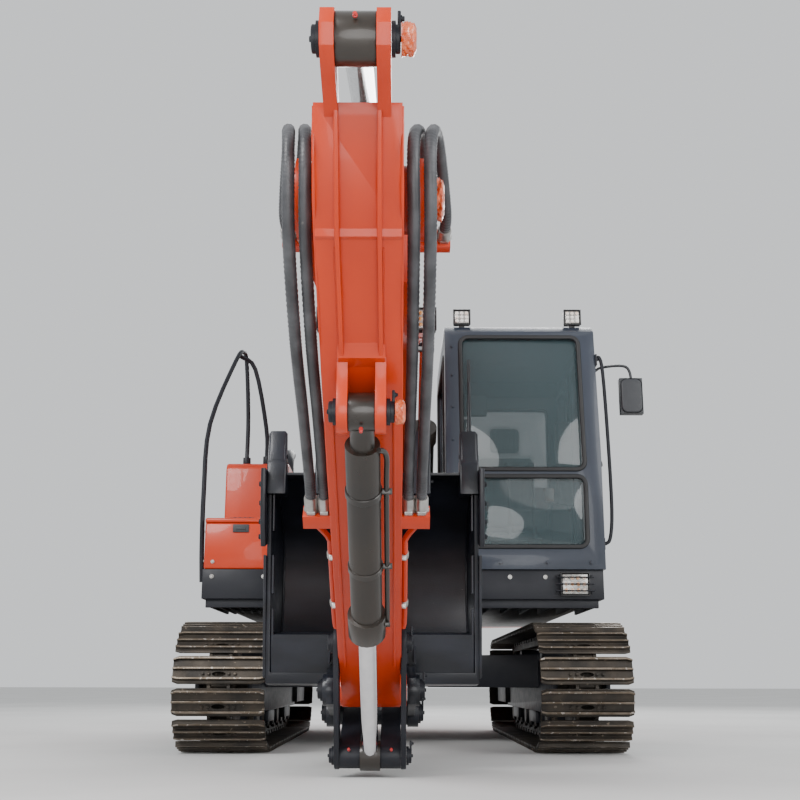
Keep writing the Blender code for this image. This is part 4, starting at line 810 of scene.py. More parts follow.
def make_boom_detail():
    """Pin wraps, welds, the pipes along its top with their clamps, and the foot pin."""
    soften("boom", "orange", 0.006)
    crumpled("tail_pin_wrap", TAIL_PIN, 0.142, 0.190, 0.050, "arm")
    crumpled("curl_pin_wrap", CURL_PIN, 0.124, 0.162, 0.044, "arm")
    crumpled("boom_pin_wrap", ARM_PIN, 0.2592, 0.300, 0.075, "boom")
    bm = bmesh.new()
    for s in (-1, 1):
        for seam in (((0.3, 0.20), (1.2, 0.695), (2.2, 1.105), (2.65, 1.125), (3.1, 0.995), (4.2, 0.535),
                      (5.0, 0.24)),
                     ((0.5, -0.01), (1.35, 0.185), (2.25, 0.425), (2.75, 0.485), (3.4, 0.365), (5.1, -0.04))):
            weld_line(bm, boom_line(seam, s * (BOOM_HALF + 0.001)))
    piece("boom_welds", bm, "orange", "boom")
    bm = bmesh.new()
    for x in (-0.150, -0.105, 0.105, 0.150):
        route = boom_line(((0.55, 0.43), (1.2, 0.765), (1.7, 0.975), (2.2, 1.170), (2.65, 1.190),
                           (3.1, 1.060), (3.6, 0.845), (4.2, 0.605), (4.9, 0.345)), x)
        add_tube(bm, curve_points(route, 8), 0.015, 12)
    piece("boom_pipes", bm, "orange", "boom")
    bm = bmesh.new()
    for along, above in ((1.2, 0.745), (1.95, 1.068), (3.1, 1.040), (4.2, 0.583)):
        for s in (-1, 1):
            centre = on_boom(along, above + 0.02, s * 0.128)
            add_box(bm, centre - Vector((0.055, 0.028, 0.036)), centre + Vector((0.055, 0.028, 0.022)), 0.004)
            add_bolt(bm, centre + Vector((0, 0, 0.022)), (0, 0, 1), 0.014)
    piece("boom_pipe_clamps", bm, "black", "boom")
    bm = bmesh.new()
    for s in (-1, 1):
        add_bolt(bm, BOOM_FOOT + across(s * (BOOM_HALF + 0.012)), (s, 0, 0), 0.030)
    add_pin(bm, BOOM_FOOT, BOOM_HALF + 0.012, BOOM_HALF + 0.040, 0.060)
    piece("boom_foot_pin", bm, "black", "boom")


def paint_eye(mesh, eye):
    """Paint the forged eye at a rod's end, which isn't chromed."""
    mesh.materials.append(MATERIAL["cylinder_black"])
    for face in mesh.polygons:
        if (face.center - eye).length < EYE_REACH:
            face.material_index = 1


def make_cylinder_detail():
    """Clamp bands, gland bolts, the oil pipe and the wiper seal of the arm and bucket cylinders."""
    for node, eye in (("left_lift", None), ("right_lift", None), ("arm_cylinder", TAIL_PIN),
                      ("bucket_cylinder", LINK_PIN)):
        soften(node + "_tube", "cylinder_black", 0.004)
        rod = soften(node + "_rod", "chrome", 0.002)
        if eye:
            paint_eye(rod.data, eye)
    for node, base, tip, tube, length in (("bucket_cylinder", CURL_PIN, LINK_PIN, 0.068, 1.28),
                                          ("arm_cylinder", ARM_CYLINDER_PIN, TAIL_PIN, 0.080, 2.10)):
        along = (tip - base).normalized()
        out = Vector((0, along.z, -along.y))
        if out.y > 0:
            out = -out
        body = NODE_BODY[node + "_tube"]
        bm = bmesh.new()
        for run in (0.32, 0.66):
            centre = base + along * (length * run)
            add_turned(bm, centre - along * 0.016, centre + along * 0.016,
                       [(0, tube + 0.003), (0.1, tube + 0.006), (0.9, tube + 0.006), (1, tube + 0.003)], 40)
            side = centre + across(tube)
            add_box(bm, side - Vector((0.004, 0.012, 0.012)), side + Vector((0.044, 0.012, 0.012)), 0.003)
        end = base + along * length
        for u, v in circle(8, 1.0, 0.5):
            spot = end - along * 0.010 + (Vector((1, 0, 0)) * u + out * v) * (tube - 0.006)
            add_bolt(bm, spot, along, 0.014, False)
        beside = across(tube + 0.022)
        pipe = [base + along * 0.16 + out * tube * 0.5 + across(tube * 0.9), base + along * 0.22 + beside,
                base + along * 0.40 + beside, base + along * (length - 0.16) + beside,
                base + along * (length - 0.07) + across(tube + 0.020),
                base + along * (length - 0.05) + across(tube + 0.010)]
        add_tube(bm, curve_points(pipe, 10), 0.011, 12)
        add_box(bm, end - along * 0.075 + Vector((tube, -0.022, -0.022)),
                end - along * 0.035 + Vector((tube + 0.034, 0.022, 0.022)), 0.004)
        piece(node + "_fittings", bm, "cylinder_black", body)
        bm = bmesh.new()
        add_turned(bm, end - along * 0.001, end + along * 0.014,
                   [(0, 0.060), (0.5, 0.060), (0.6, 0.053), (1, 0.051)], 32)
        piece(node + "_wiper_seal", bm, "seal", body)


def make_link_detail():
    """The links, with their pin's ends and nipples."""
    for node in ("left_guide_link", "right_guide_link"):
        soften(node, "black", 0.004)
    soften("bucket_link", "black", 0.005)
    bm = bmesh.new()
    add_pin(bm, LINK_PIN, ARM_HALF + 0.032, ARM_HALF + 0.058, 0.036)
    piece("link_pin_ends", bm, "black", "guide_links")
    bm = bmesh.new()
    for x in (0.105, -0.105):
        add_nipple(bm, LINK_PIN + Vector((x, -0.055, 0.030)), (0, -1, 0.3))
    piece("link_nipples", bm, "red", "bucket_link")


# ---------------------------------------------------------------- bucket
BUCKET_HALF = 0.57
SIDE = BUCKET_HALF + 0.0005
TEETH = 5


def on_bucket(back, up, x=0.0):
    """Point toward the machine and up from the bucket pin, x to the left."""
    return BUCKET_PIN + Vector((x, back, up))


def bucket_line(points, x=0.0):
    """Points (back, up) of the bucket, all at x."""
    return [on_bucket(back, up, x) for back, up in points]


def make_tooth(bm, x):
    """Cast adapter over the lip, a keyed pin, and a pointed tooth."""
    adapter = ((-0.014, 1.02), (0.115, 1.02), (0.108, 1.17), (0.080, 1.215), (0.004, 1.215), (-0.018, 1.17))
    add_plate(bm, bucket_line(adapter, x - 0.052), (0.104, 0, 0), 0.010, 3)
    tooth = ((-0.006, 1.205), (0.090, 1.205), (0.074, 1.290), (0.046, 1.372), (0.030, 1.372), (0.004, 1.290))
    add_plate(bm, bucket_line(tooth, x - 0.046), (0.092, 0, 0), 0.012, 3)
    for s in (-1, 1):
        start = on_bucket(0.042, 1.232, x + s * 0.044)
        add_rod(bm, start, start + across(s * 0.010), 0.013, 14)


def make_bucket_detail():
    """Teeth, side cutters, wear plates, heel strips, the beam with its gussets, welds and pins."""
    soften("bucket", "bucket_black", 0.004)
    bm = bmesh.new()
    for i in range(TEETH):
        make_tooth(bm, -BUCKET_HALF + 0.05 + (2 * BUCKET_HALF - 0.10) / (TEETH - 1) * i)
    piece("bucket_teeth", bm, "bucket_black", "bucket")
    cutter = ((-0.060, 1.15), (0.115, 1.15), (0.150, 0.98), (0.165, 0.78), (0.030, 0.74), (-0.030, 0.86))
    edge = ((0.070, 0.70), (0.105, 0.70), (0.235, 0.06), (0.200, 0.06))
    wear = ((0.52, 1.045), (0.62, 1.000), (0.775, 0.780), (0.795, 0.52), (0.715, 0.270), (0.640, 0.300),
            (0.715, 0.53), (0.700, 0.750), (0.580, 0.940))
    bm = bmesh.new()
    for s in (-1, 1):
        add_plate(bm, bucket_line(cutter, s * SIDE), (s * 0.028, 0, 0), 0.005)
        for back, up in ((0.045, 1.08), (0.075, 0.98), (0.085, 0.88), (0.090, 0.80)):
            add_bolt(bm, on_bucket(back, up, s * (SIDE + 0.028)), (s, 0, 0), 0.028)
        add_plate(bm, bucket_line(edge, s * SIDE), (s * 0.016, 0, 0), 0.004)
        add_plate(bm, bucket_line(wear, s * SIDE), (s * 0.014, 0, 0), 0.004)
    piece("bucket_side_plates", bm, "bucket_black", "bucket")
    shell = ((0.36, 1.140), (0.62, 1.020), (0.78, 0.780), (0.80, 0.520), (0.72, 0.260), (0.56, 0.080))
    worn = [(a + 0.012, u + (0.010 if u > 0.7 else -0.008)) for a, u in shell]
    bm = bmesh.new()
    for x in (-0.42, -0.21, 0.0, 0.21, 0.42):
        strip = bucket_line(shell, x - 0.035) + bucket_line(worn[::-1], x - 0.035)
        add_plate(bm, strip, (0.070, 0, 0), 0.003)
    piece("bucket_heel_strips", bm, "bucket_black", "bucket")
    inside = BUCKET_HALF - 0.024
    beam = ((0.155, 0.285), (0.225, 0.300), (0.290, 0.230), (0.300, 0.050), (0.205, 0.045), (0.170, 0.200))
    gusset = ((0.10, 0.135), (0.24, 0.150), (0.225, 0.225), (0.17, 0.235))
    bm = bmesh.new()
    add_plate(bm, bucket_line(beam, -inside), (2 * inside, 0, 0), 0.010, 3)
    for s in (-1, 1):
        for x in (0.180, 0.222):
            add_plate(bm, bucket_line(gusset, s * x), (s * 0.010, 0, 0), 0.003)
    piece("bucket_beam", bm, "bucket_black", "bucket")
    seam = ((0.05, 1.105), (0.30, 1.12), (0.575, 0.985), (0.745, 0.765), (0.765, 0.52), (0.690, 0.280),
            (0.530, 0.110))
    bm = bmesh.new()
    for s in (-1, 1):
        x = s * (inside - 0.004)
        weld_line(bm, bucket_line(seam, x), 0.006)
        for a, u in ((0.04, 1.03), (0.085, 0.70), (0.135, 0.42)):
            strip = bucket_line(((a, u), (a + 0.035, u), (a + 0.065, u - 0.20), (a + 0.030, u - 0.20)), x)
            add_plate(bm, strip, (-s * 0.012, 0, 0), 0.003)
    for x in (-0.30, -0.10, 0.10, 0.30):
        add_box(bm, on_bucket(0.10, 1.098, x - 0.03), on_bucket(0.28, 1.118, x + 0.03), 0.005)
    piece("bucket_inside_strips", bm, "bucket_black", "bucket")
    bm = bmesh.new()
    for centre in (BUCKET_PIN, EAR_PIN):
        add_pin(bm, centre, 0.2485, 0.276, 0.045)
    piece("bucket_pins", bm, "black", "bucket")


# ---------------------------------------------------------------- cab
SCREEN_LEAN = 0.11 / 0.92     # how far the windscreen leans back for each metre above its knee
SCREEN_KNEE = 2.00
GUTTER = 1.283                # of the roof gutter, to the left of the middle
VOXEL = 0.012                 # a cushion's mesh before its cloth pressure
SWELL_LIMIT = 0.012
SWELL_FRAMES = 20
CHANNEL_AT = 0.26             # of a cushion's width, from its middle to each sewn channel
CHANNEL_HALF = 0.02
CHANNEL_DEPTH = 0.007
FOLD_HEIGHT = 0.0018          # of the film's wrinkles


def seal_ring(bm, outline, place, width=0.016, depth=0.012):
    """Rubber section along a closed outline; place turns an outline point into a place."""
    middle = (sum(p[0] for p in outline) / len(outline), sum(p[1] for p in outline) / len(outline))
    rings = []
    for i, (u, v) in enumerate(outline):
        before, after = outline[i - 1], outline[(i + 1) % len(outline)]
        du, dv = after[0] - before[0], after[1] - before[1]
        size = math.hypot(du, dv)
        nu, nv = dv / size, -du / size
        if nu * (u - middle[0]) + nv * (v - middle[1]) < 0:
            nu, nv = -nu, -nv
        section = []
        for a in range(0, 360, 45):
            out = width * math.cos(math.radians(a))
            lift = depth * math.sin(math.radians(a))
            section.append(bm.verts.new(place(u + nu * out, v + nv * out, lift)))
        rings.append(section)
    for a, b in zip(rings, rings[1:] + rings[:1]):
        for i in range(8):
            j = (i + 1) % 8
            bm.faces.new((a[i], a[j], b[j], b[i]))


def window_seal(bm, node, axis, radius, place, margin=0.0):
    """Seal around a window node, its outline along axis and up."""
    a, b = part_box(node)
    seal_ring(bm, round_corners(a[axis] - margin, b[axis] + margin, a.z - margin, b.z + margin, radius),
              place)


def make_cab_detail():
    """Softened cab and glass, the window seals and the door handle."""
    for node in ("cab_frame", "cab_door"):
        soften(node, "cab_grey", 0.012)
    for node in ("windscreen_upper", "windscreen_lower", "rear_window", "right_window", "left_rear_window",
                 "door_window"):
        soften(node, "glass", 0.001)
    low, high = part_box("cab_frame")
    a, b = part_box("cab_door")
    side = b.x - 0.020

    def front_face(x, z, lift):
        back = SCREEN_LEAN * max(0.0, z - SCREEN_KNEE)
        return Vector((x, low.y + back - 0.002 - lift, z))

    def left_face(y, z, lift):
        return Vector((side + lift, y, z))

    bm = bmesh.new()
    for node in ("windscreen_upper", "windscreen_lower"):
        window_seal(bm, node, 0, 0.055, front_face, 0.004)
    window_seal(bm, "rear_window", 0, 0.05, lambda x, z, lift: Vector((x, high.y + lift, z)))
    window_seal(bm, "right_window", 1, 0.06, lambda y, z, lift: Vector((low.x - lift * 0.8, y, z)))
    window_seal(bm, "left_rear_window", 1, 0.05, left_face)
    piece("window_seals", bm, "seal", "upper")
    bm = bmesh.new()
    window_seal(bm, "door_window", 1, 0.06, left_face)
    add_box(bm, (side - 0.002, a.y + 0.035, 1.92), (side + 0.012, a.y + 0.135, 2.06), 0.008, 3)
    add_tube(bm, curve_points([(side + 0.006, a.y + 0.050, 1.96), (side + 0.038, a.y + 0.055, 1.965),
                               (side + 0.038, a.y + 0.110, 2.015), (side + 0.006, a.y + 0.120, 2.02)], 8),
                               0.008)
    piece("door_seal_and_handle", bm, "seal", "cab_door")
    make_cab_outside(low, high, front_face)
    make_cab_interior(low)


def make_cab_outside(low, high, front_face):
    """Wiper, bolts, the roof hatch and gutter, and the rear panels with their louvre."""
    bm = bmesh.new()
    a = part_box("windscreen_upper")[0]
    pivot = front_face(a.x + 0.030, a.z - 0.020, 0.020)
    add_rod(bm, pivot + Vector((0, 0.012, 0)), pivot - Vector((0, 0.014, 0)), 0.020, 20)
    tip = front_face(a.x + 0.050, a.z + 0.62, 0.030)
    add_tube(bm, curve_points([pivot - Vector((0, 0.006, 0)), front_face(a.x + 0.036, a.z + 0.25, 0.034),
                               tip], 8),
             0.006)
    for s in (-1, 1):
        start = front_face(a.x + 0.047 + s * 0.006, a.z + 0.16, 0.018)
        end = front_face(a.x + 0.052 + s * 0.006, a.z + 0.80, 0.018)
        add_tube(bm, [start.lerp(end, i / 8) for i in range(9)], 0.005, 8)
    piece("wiper", bm, "plastic", "upper")
    bm = bmesh.new()
    for z in (1.40, 1.62, 1.86, 2.10, 2.34, 2.58, 2.80):
        for x in (low.x + 0.050, high.x - 0.060):
            if x < 1.20:
                add_bolt(bm, front_face(x, z, 0.0), (0, -1, 0), 0.012)
    for x in (0.06, 0.36, 0.68, 0.98):
        add_bolt(bm, (low.x + x, low.y - 0.001, 1.245), (0, -1, 0), 0.018)
    for y in (0.30, 0.75, 1.20, 1.50):
        add_bolt(bm, (low.x - 0.001, y, 1.26), (-1, 0, 0), 0.016)
    piece("cab_bolts", bm, "cab_grey", "upper")
    bm = bmesh.new()
    for x0, x1, y0, y1, base, thick, bevel in (
            (low.x + 0.05, 1.21, low.y + 0.30, high.y - 0.16, 0.0005, 0.018, 0.010),
            (low.x + 0.22, 1.04, low.y + 0.62, high.y - 0.30, 0.0185, 0.024, 0.012)):
        panel = [Vector((x, y, high.z + base)) for x, y in ((x0, y1), (x0, y0), (x1, y0), (x1, y1))]
        add_plate(bm, panel, rise(thick), bevel, 3)
    gutter = [(GUTTER, low.y + 0.22, 2.925), (GUTTER, 0.9, 2.935), (GUTTER, high.y - 0.14, 2.915),
              (GUTTER, high.y - 0.02, 2.80)]
    add_tube(bm, curve_points(gutter, 8), 0.009, 10)
    for z0, z1 in ((1.30, 1.62), (1.64, 1.70)):
        add_box(bm, (low.x + 0.30, high.y + 0.0005, z0), (low.x + 0.80, high.y + 0.010, z1), 0.006)
    piece("cab_roof_panels", bm, "cab_grey", "upper")
    bm = bmesh.new()
    for i in range(9):
        z = 1.335 + 0.030 * i
        add_box(bm, (low.x + 0.34, high.y + 0.009, z), (low.x + 0.76, high.y + 0.016, z + 0.014), 0.003, 1)
    piece("cab_rear_louvre", bm, "seal", "upper")


def make_cab_interior(low):
    """Seat with its base, back and head pads under a clear film, consoles, levers, pedals, vents, screen and mug.
    """
    a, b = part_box("operator_seat")
    x = (a.x + b.x) / 2
    bm = bmesh.new()
    add_box(bm, (x - 0.16, a.y + 0.12, a.z), (x + 0.16, b.y - 0.16, a.z + 0.30), 0.02, 3)
    for i in range(5):
        z = a.z + 0.05 + 0.045 * i
        add_box(bm, (x - 0.175, a.y + 0.10, z), (x + 0.175, b.y - 0.14, z + 0.022), 0.010, 2)
    piece("seat_bellows", bm, "plastic", "upper")
    for name, half, y0, y1, z0, z1, tilt in (("seat_base", 0.245, 0.01, 0.53, 0.33, 0.46, 0.0),
                                             ("seat_back", 0.225, 0.46, 0.57, 0.46, 1.00, 0.20),
                                             ("seat_head", 0.125, 0.58, 0.66, 1.01, 1.23, 0.10)):
        corners = (x - half, a.y + y0, a.z + z0), (x + half, a.y + y1, a.z + z1)
        pad = make_cushion(name, *corners, tilt)
        if name == "seat_base":
            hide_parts("operator_seat")
        make_film(name, *corners, tilt)
    bm = bmesh.new()
    for node in ("left_console", "right_console"):
        c0, c1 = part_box(node)
        add_box(bm, c0, (c1.x, c1.y, c0.z + 0.44), 0.025, 3)
        add_box(bm, (c0.x + 0.01, c0.y + 0.02, c0.z + 0.42), (c1.x - 0.01, c1.y - 0.25, c0.z + 0.495),
                0.028, 4)
        middle = Vector(((c0.x + c1.x) / 2, c0.y + 0.12, c0.z + 0.49))
        for k in range(5):
            add_rod(bm, middle + rise(0.014 * k), middle + rise(0.014 * k + 0.012), 0.044 - 0.005 * k, 20,
                    0.004)
        grip = [middle + Vector((0, y, z)) for y, z in ((-0.01, 0.06), (-0.02, 0.12), (-0.015, 0.18),
                                                        (-0.03, 0.225))]
        add_tube(bm, curve_points(grip, 6), lambda run, around: 0.019 + 0.004 * math.sin(run * 40), 14)
    consoles = piece("consoles_look", bm, "plastic", "upper")
    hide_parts("left_console", "right_console")
    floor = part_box("right_console")[0].z

    def inside(x, y, z):
        return Vector((x, low.y + y, floor + z))

    bm = bmesh.new()
    for s in (-1, 1):
        px = x + s * 0.085
        pedal = [inside(px - 0.045, 0.30, 0.05), inside(px + 0.045, 0.30, 0.05),
                 inside(px + 0.045, 0.16, 0.16), inside(px - 0.045, 0.16, 0.16)]
        add_plate(bm, pedal, (0, 0.012, 0.016), 0.004)
        lever = [inside(px, 0.24, 0.02), inside(px, 0.21, 0.30), inside(px, 0.27, 0.58),
                 inside(px, 0.30, 0.66)]
        add_tube(bm, curve_points(lever, 6), 0.011)
        add_rod(bm, inside(px, 0.296, 0.65), inside(px, 0.31, 0.73), 0.022, 16, 0.006)
    add_box(bm, inside(low.x + 0.09, 0.15, 0.50), inside(low.x + 0.19, 0.42, 1.02), 0.02, 3)
    add_box(bm, inside(low.x + 0.10, 0.15, 1.04), inside(low.x + 0.30, 0.19, 1.20), 0.014, 3)
    piece("levers_and_screen", bm, "plastic", "upper")
    bm = bmesh.new()
    for z in (2.16, 2.30):
        for k, radius in enumerate((0.046, 0.034, 0.020)):
            start = Vector((1.140, 0.72, z))
            add_rod(bm, start - Vector((0, 0.014 + 0.004 * k, 0)), start, radius, 26, 0.003)
    add_box(bm, (1.085, 0.721, 1.75), (1.200, 0.86, 2.42), 0.02, 3)
    piece("air_vents", bm, "plastic", "upper")
    bm = bmesh.new()
    cup = inside(0.985, 0.62, 0.50)
    add_turned(bm, cup, cup + rise(0.095), [(0, 0.030), (0.08, 0.033), (0.9, 0.038), (1, 0.036)], 24)
    piece("mug", bm, "pale", "upper")


def tilt_back(pad, low, high, tilt):
    """Leans a pad back about its lower front edge."""
    pivot = Vector(((low[0] + high[0]) / 2, low[1], low[2]))
    lean = Matrix.Translation(pivot) @ Matrix.Rotation(-tilt, 4, "X") @ Matrix.Translation(-pivot)
    pad.data.transform(lean)


def make_cushion(name, low, high, tilt):
    """A crowned pad: swelled by cloth pressure, then held in by its sewn channels."""
    bm = bmesh.new()
    inset = Vector((0.006, 0.006, 0.006))
    add_box(bm, Vector(low) + inset, Vector(high) - inset, 0.03, 4)
    pad = piece(name + "_cushion", bm, "seat", "upper", 60)
    tilt_back(pad, low, high, tilt)
    remesh = pad.modifiers.new("remesh", "REMESH")
    remesh.mode = "VOXEL"
    remesh.voxel_size = VOXEL
    bake_modifiers(pad)
    swell(pad)
    middle = (Vector(low) + Vector(high)) / 2
    thin = min(range(3), key=lambda k: high[k] - low[k])
    for v in pad.data.vertices:
        run = (v.co.x - middle.x) / (high[0] - low[0])
        groove = CHANNEL_DEPTH * max(0.0, 1 - abs(abs(run) - CHANNEL_AT) / CHANNEL_HALF)
        if thin == 2 and v.co[thin] > middle[thin]:
            v.co[thin] -= groove
        elif thin == 1:
            v.co[thin] += groove
    smooth = pad.modifiers.new("smooth", "SUBSURF")
    smooth.levels = smooth.render_levels = 1
    bake_modifiers(pad)
    return pad


def bake_modifiers(thing):
    """Replaces the mesh by what its modifiers make of it."""
    bpy.context.view_layer.update()
    done = bpy.data.meshes.new_from_object(thing.evaluated_get(bpy.context.evaluated_depsgraph_get()))
    thing.modifiers.clear()
    thing.data = done
    done.shade_smooth()


def swell(pad):
    """Blows a pad up by cloth pressure, no vertex further than SWELL_LIMIT."""
    rest = [v.co.copy() for v in pad.data.vertices]
    cloth = pad.modifiers.new("swell", "CLOTH")
    cloth.settings.use_pressure = True
    cloth.settings.uniform_pressure_force = 4.0
    cloth.settings.effector_weights.gravity = 0.0
    cloth.point_cache.frame_end = SWELL_FRAMES
    for number in range(1, SWELL_FRAMES + 1):
        bpy.context.scene.frame_set(number)
    bake_modifiers(pad)
    for v, start in zip(pad.data.vertices, rest):
        move = v.co - start
        if move.length > SWELL_LIMIT:
            v.co = start + move.normalized() * SWELL_LIMIT
    bpy.context.scene.frame_set(1)


def make_film(name, low, high, tilt):
    """Clear wrinkled film over a pad."""
    bm = bmesh.new()
    add_box(bm, Vector(low) - Vector((0.008, 0.008, 0.004)), Vector(high) + Vector((0.008, 0.008, 0.010)),
            0.03, 4)
    bmesh.ops.subdivide_edges(bm, edges=bm.edges, cuts=5, use_grid_fill=True)
    for v in bm.verts:
        fold = math.sin(v.co.x * 71 + v.co.z * 38) + 0.7 * math.sin(v.co.x * 133 - v.co.z * 91 + v.co.y * 60)
        v.co += v.co.normalized() * FOLD_HEIGHT * fold
    tilt_back(piece(name + "_film", bm, "film", "upper", 20), low, high, tilt)


# ---------------------------------------------------------------- upper structure and undercarriage
def add_louvre(bm, low, high, side, count):
    """Rows of pressed slats on a side panel, side 1 for the left and -1 for the right."""
    face = high.x if side > 0 else low.x
    step = (high.z - low.z) / count
    for i in range(count):
        z = low.z + step * i
        slat = [Vector((face + side * out, low.y, z + step * share)) for out, share in
                ((0.0005, 0), (0.0005, 0.8), (0.012, 0.25), (0.012, 0.1))]
        add_plate(bm, slat, (0, high.y - low.y, 0), 0.002, 1)


def make_side_panels():
    """Louvres, latches and borders on the doors, slats on the hood, exhaust and air cleaner."""
    for node in ("left_housing", "right_housing", "left_side_door", "right_side_door", "engine_hood",
                 "tool_box", "tool_box_lid", "fuel_tank", "hydraulic_tank", "counterweight"):
        soften(node, "orange", 0.006 if "door" in node else 0.012)
    for side, s in (("left", 1), ("right", -1)):
        low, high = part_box(side + "_side_door")
        face = (high.x - 0.018) if s > 0 else (low.x + 0.018)
        bm = bmesh.new()
        for part in range(2):
            y0 = low.y + 0.22 + 0.62 * part
            for z0, z1 in ((1.33, 1.56), (1.62, 1.86)):
                add_louvre(bm, Vector((face, y0, z0)), Vector((face, y0 + 0.48, z1)), s, 8)
        for z in (1.275, 1.915):
            add_box(bm, (face + s * 0.0005, low.y + 0.05, z), (face + s * 0.010, high.y - 0.05, z + 0.012),
                    0.004)
        piece(side + "_door_louvres", bm, "orange", side + "_side_door")
        bm = bmesh.new()
        y = low.y + 0.10 if s > 0 else high.y - 0.10
        knob = face + s * 0.026
        add_box(bm, (face + s * 0.002, y - 0.030, 1.58), (knob, y + 0.030, 1.74), 0.008, 3)
        add_rod(bm, (knob, y, 1.62), (knob + s * 0.006, y, 1.62), 0.014)
        piece(side + "_door_latch", bm, "plastic", side + "_side_door")
    low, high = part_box("engine_hood")
    bm = bmesh.new()
    for k in range(2):
        x0 = low.x + 0.12 + 0.58 * k
        for i in range(9):
            y = low.y + 0.14 + 0.075 * i
            add_box(bm, (x0, y, high.z - 0.001), (x0 + 0.46, y + 0.034, high.z + 0.010), 0.004)
    piece("hood_slats", bm, "orange", "engine_hood")
    bm = bmesh.new()
    for x in (low.x + 0.18, high.x - 0.18):
        add_box(bm, (x - 0.035, high.y - 0.005, high.z - 0.08), (x + 0.035, high.y + 0.016, high.z - 0.03),
                0.006)
    piece("hood_latches", bm, "plastic", "engine_hood")
    low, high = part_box("right_housing")
    bm = bmesh.new()
    pipe = Vector((high.x - 0.22, low.y + 0.60, high.z))
    add_turned(bm, pipe, pipe + rise(0.36), [(0, 0.085), (0.04, 0.085), (0.05, 0.058), (1, 0.058)], 32)
    elbow = [pipe + Vector((0, y, z)) for y, z in ((0, 0.34), (0.02, 0.42), (0.10, 0.49), (0.19, 0.52))]
    add_tube(bm, curve_points(elbow, 8), 0.056, 28)
    piece("exhaust", bm, "black", "upper")
    bm = bmesh.new()
    cleaner = Vector((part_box("left_housing")[0].x + 0.30, low.y + 0.80, high.z))
    add_turned(bm, cleaner, cleaner + rise(0.26),
               [(0, 0.060), (0.45, 0.060), (0.47, 0.110), (0.60, 0.118), (0.82, 0.118), (0.95, 0.090),
                (1, 0.05)], 36)
    piece("air_cleaner", bm, "plastic", "upper")


def add_grips(bm, corner, columns, rows, pitch_x, pitch_y, height):
    """Rows of raised grip studs from a corner, on a step."""
    for i in range(rows):
        for k in range(columns):
            spot = corner + Vector((pitch_x * k, pitch_y * i, 0))
            add_turned(bm, spot, spot + rise(height), [(0, 0.013), (0.6, 0.010), (1, 0.008)], 12)


def make_tank_detail():
    """The lid's step plate and latch, the fuel cap with its grips, the grease can, and bolts."""
    low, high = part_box("tool_box_lid")
    bm = bmesh.new()
    add_box(bm, (low.x + 0.16, low.y + 0.03, high.z - 0.002),
            (high.x - 0.16, high.y - 0.05, high.z + 0.006), 0.004)
    add_grips(bm, Vector((low.x + 0.195, low.y + 0.07, high.z + 0.006)), 4, 8, 0.034, 0.068, 0.007)
    piece("lid_step_plate", bm, "black", "tool_box_lid")
    bm = bmesh.new()
    x = (low.x + high.x) / 2
    add_box(bm, (x - 0.055, low.y - 0.007, high.z - 0.10), (x + 0.055, low.y + 0.002, high.z - 0.045),
            0.010, 3)
    add_box(bm, (x - 0.035, low.y - 0.012, high.z - 0.085), (x + 0.035, low.y - 0.004, high.z - 0.060),
            0.006, 3)
    piece("lid_latch", bm, "plastic", "tool_box_lid")
    low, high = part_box("fuel_tank")
    bm = bmesh.new()
    cap = Vector((low.x + 0.34, high.y - 0.20, high.z))
    add_turned(bm, cap, cap + rise(0.055), [(0, 0.058), (0.25, 0.058), (0.3, 0.048), (0.9, 0.046),
                                            (1, 0.040)], 28)
    add_grips(bm, Vector((low.x + 0.10, low.y + 0.36, high.z)), 5, 5, 0.05, 0.055, 0.006)
    piece("fuel_cap_and_grips", bm, "black", "upper")
    bm = bmesh.new()
    can = Vector((low.x + 0.40, low.y + 0.06, high.z + 0.001))
    add_turned(bm, can, can + rise(0.135),
               [(0, 0.030), (0.06, 0.038), (0.72, 0.038), (0.82, 0.026), (0.86, 0.020), (1, 0.020)], 28)
    piece("grease_can", bm, "orange", "upper")
    bm = bmesh.new()
    for node, low_bolt in (("tool_box", 0.06), ("fuel_tank", 0.10), ("hydraulic_tank", 0.10)):
        a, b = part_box(node)
        for y in (a.y + 0.06, b.y - 0.06):
            for z in (low_bolt, 0.26):
                add_bolt(bm, (a.x - 0.0005, y, a.z + z), (-1, 0, 0), 0.016)
    a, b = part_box("tool_box")
    for x in (a.x + 0.06, b.x - 0.06):
        add_bolt(bm, (x, a.y - 0.0005, a.z + 0.05), (0, -1, 0), 0.016)
    piece("tank_bolts", bm, "steel", "upper")


def make_counterweight_detail():
    """Lifting eyes, rear lamps and the counterweight's bolts."""
    low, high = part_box("counterweight")
    middle = (low + high) / 2
    bm = bmesh.new()
    for s in (-1, 1):
        eye = Vector((middle.x + s * 0.72, middle.y - 0.10, high.z))
        turns = [math.radians(-60 + 300 * i / 16) for i in range(17)]
        add_tube(bm, [eye + Vector((0.045 * math.cos(a), 0, 0.045 + 0.045 * math.sin(a))) for a in turns],
                 0.014, 12)
        add_rod(bm, eye - rise(0.001), eye + rise(0.012), 0.055, 24)
    piece("lifting_eyes", bm, "steel", "upper")
    bm = bmesh.new()
    for s in (-1, 1):
        centre = Vector((s * 0.98, high.y - 0.185, 1.30))
        add_box(bm, centre - Vector((0.080, 0.03, 0.045)), centre + Vector((0.080, 0.022, 0.045)), 0.012, 3)
    piece("rear_lamps", bm, "red", "upper")
    bm = bmesh.new()
    for x in (-0.55, 0.0, 0.55):
        start = Vector((middle.x + x, high.y - 0.14, 1.12))
        add_rod(bm, start, start + Vector((0, 0.09, 0)), 0.034, 6, 0.006)
    piece("counterweight_bolts", bm, "steel", "upper")


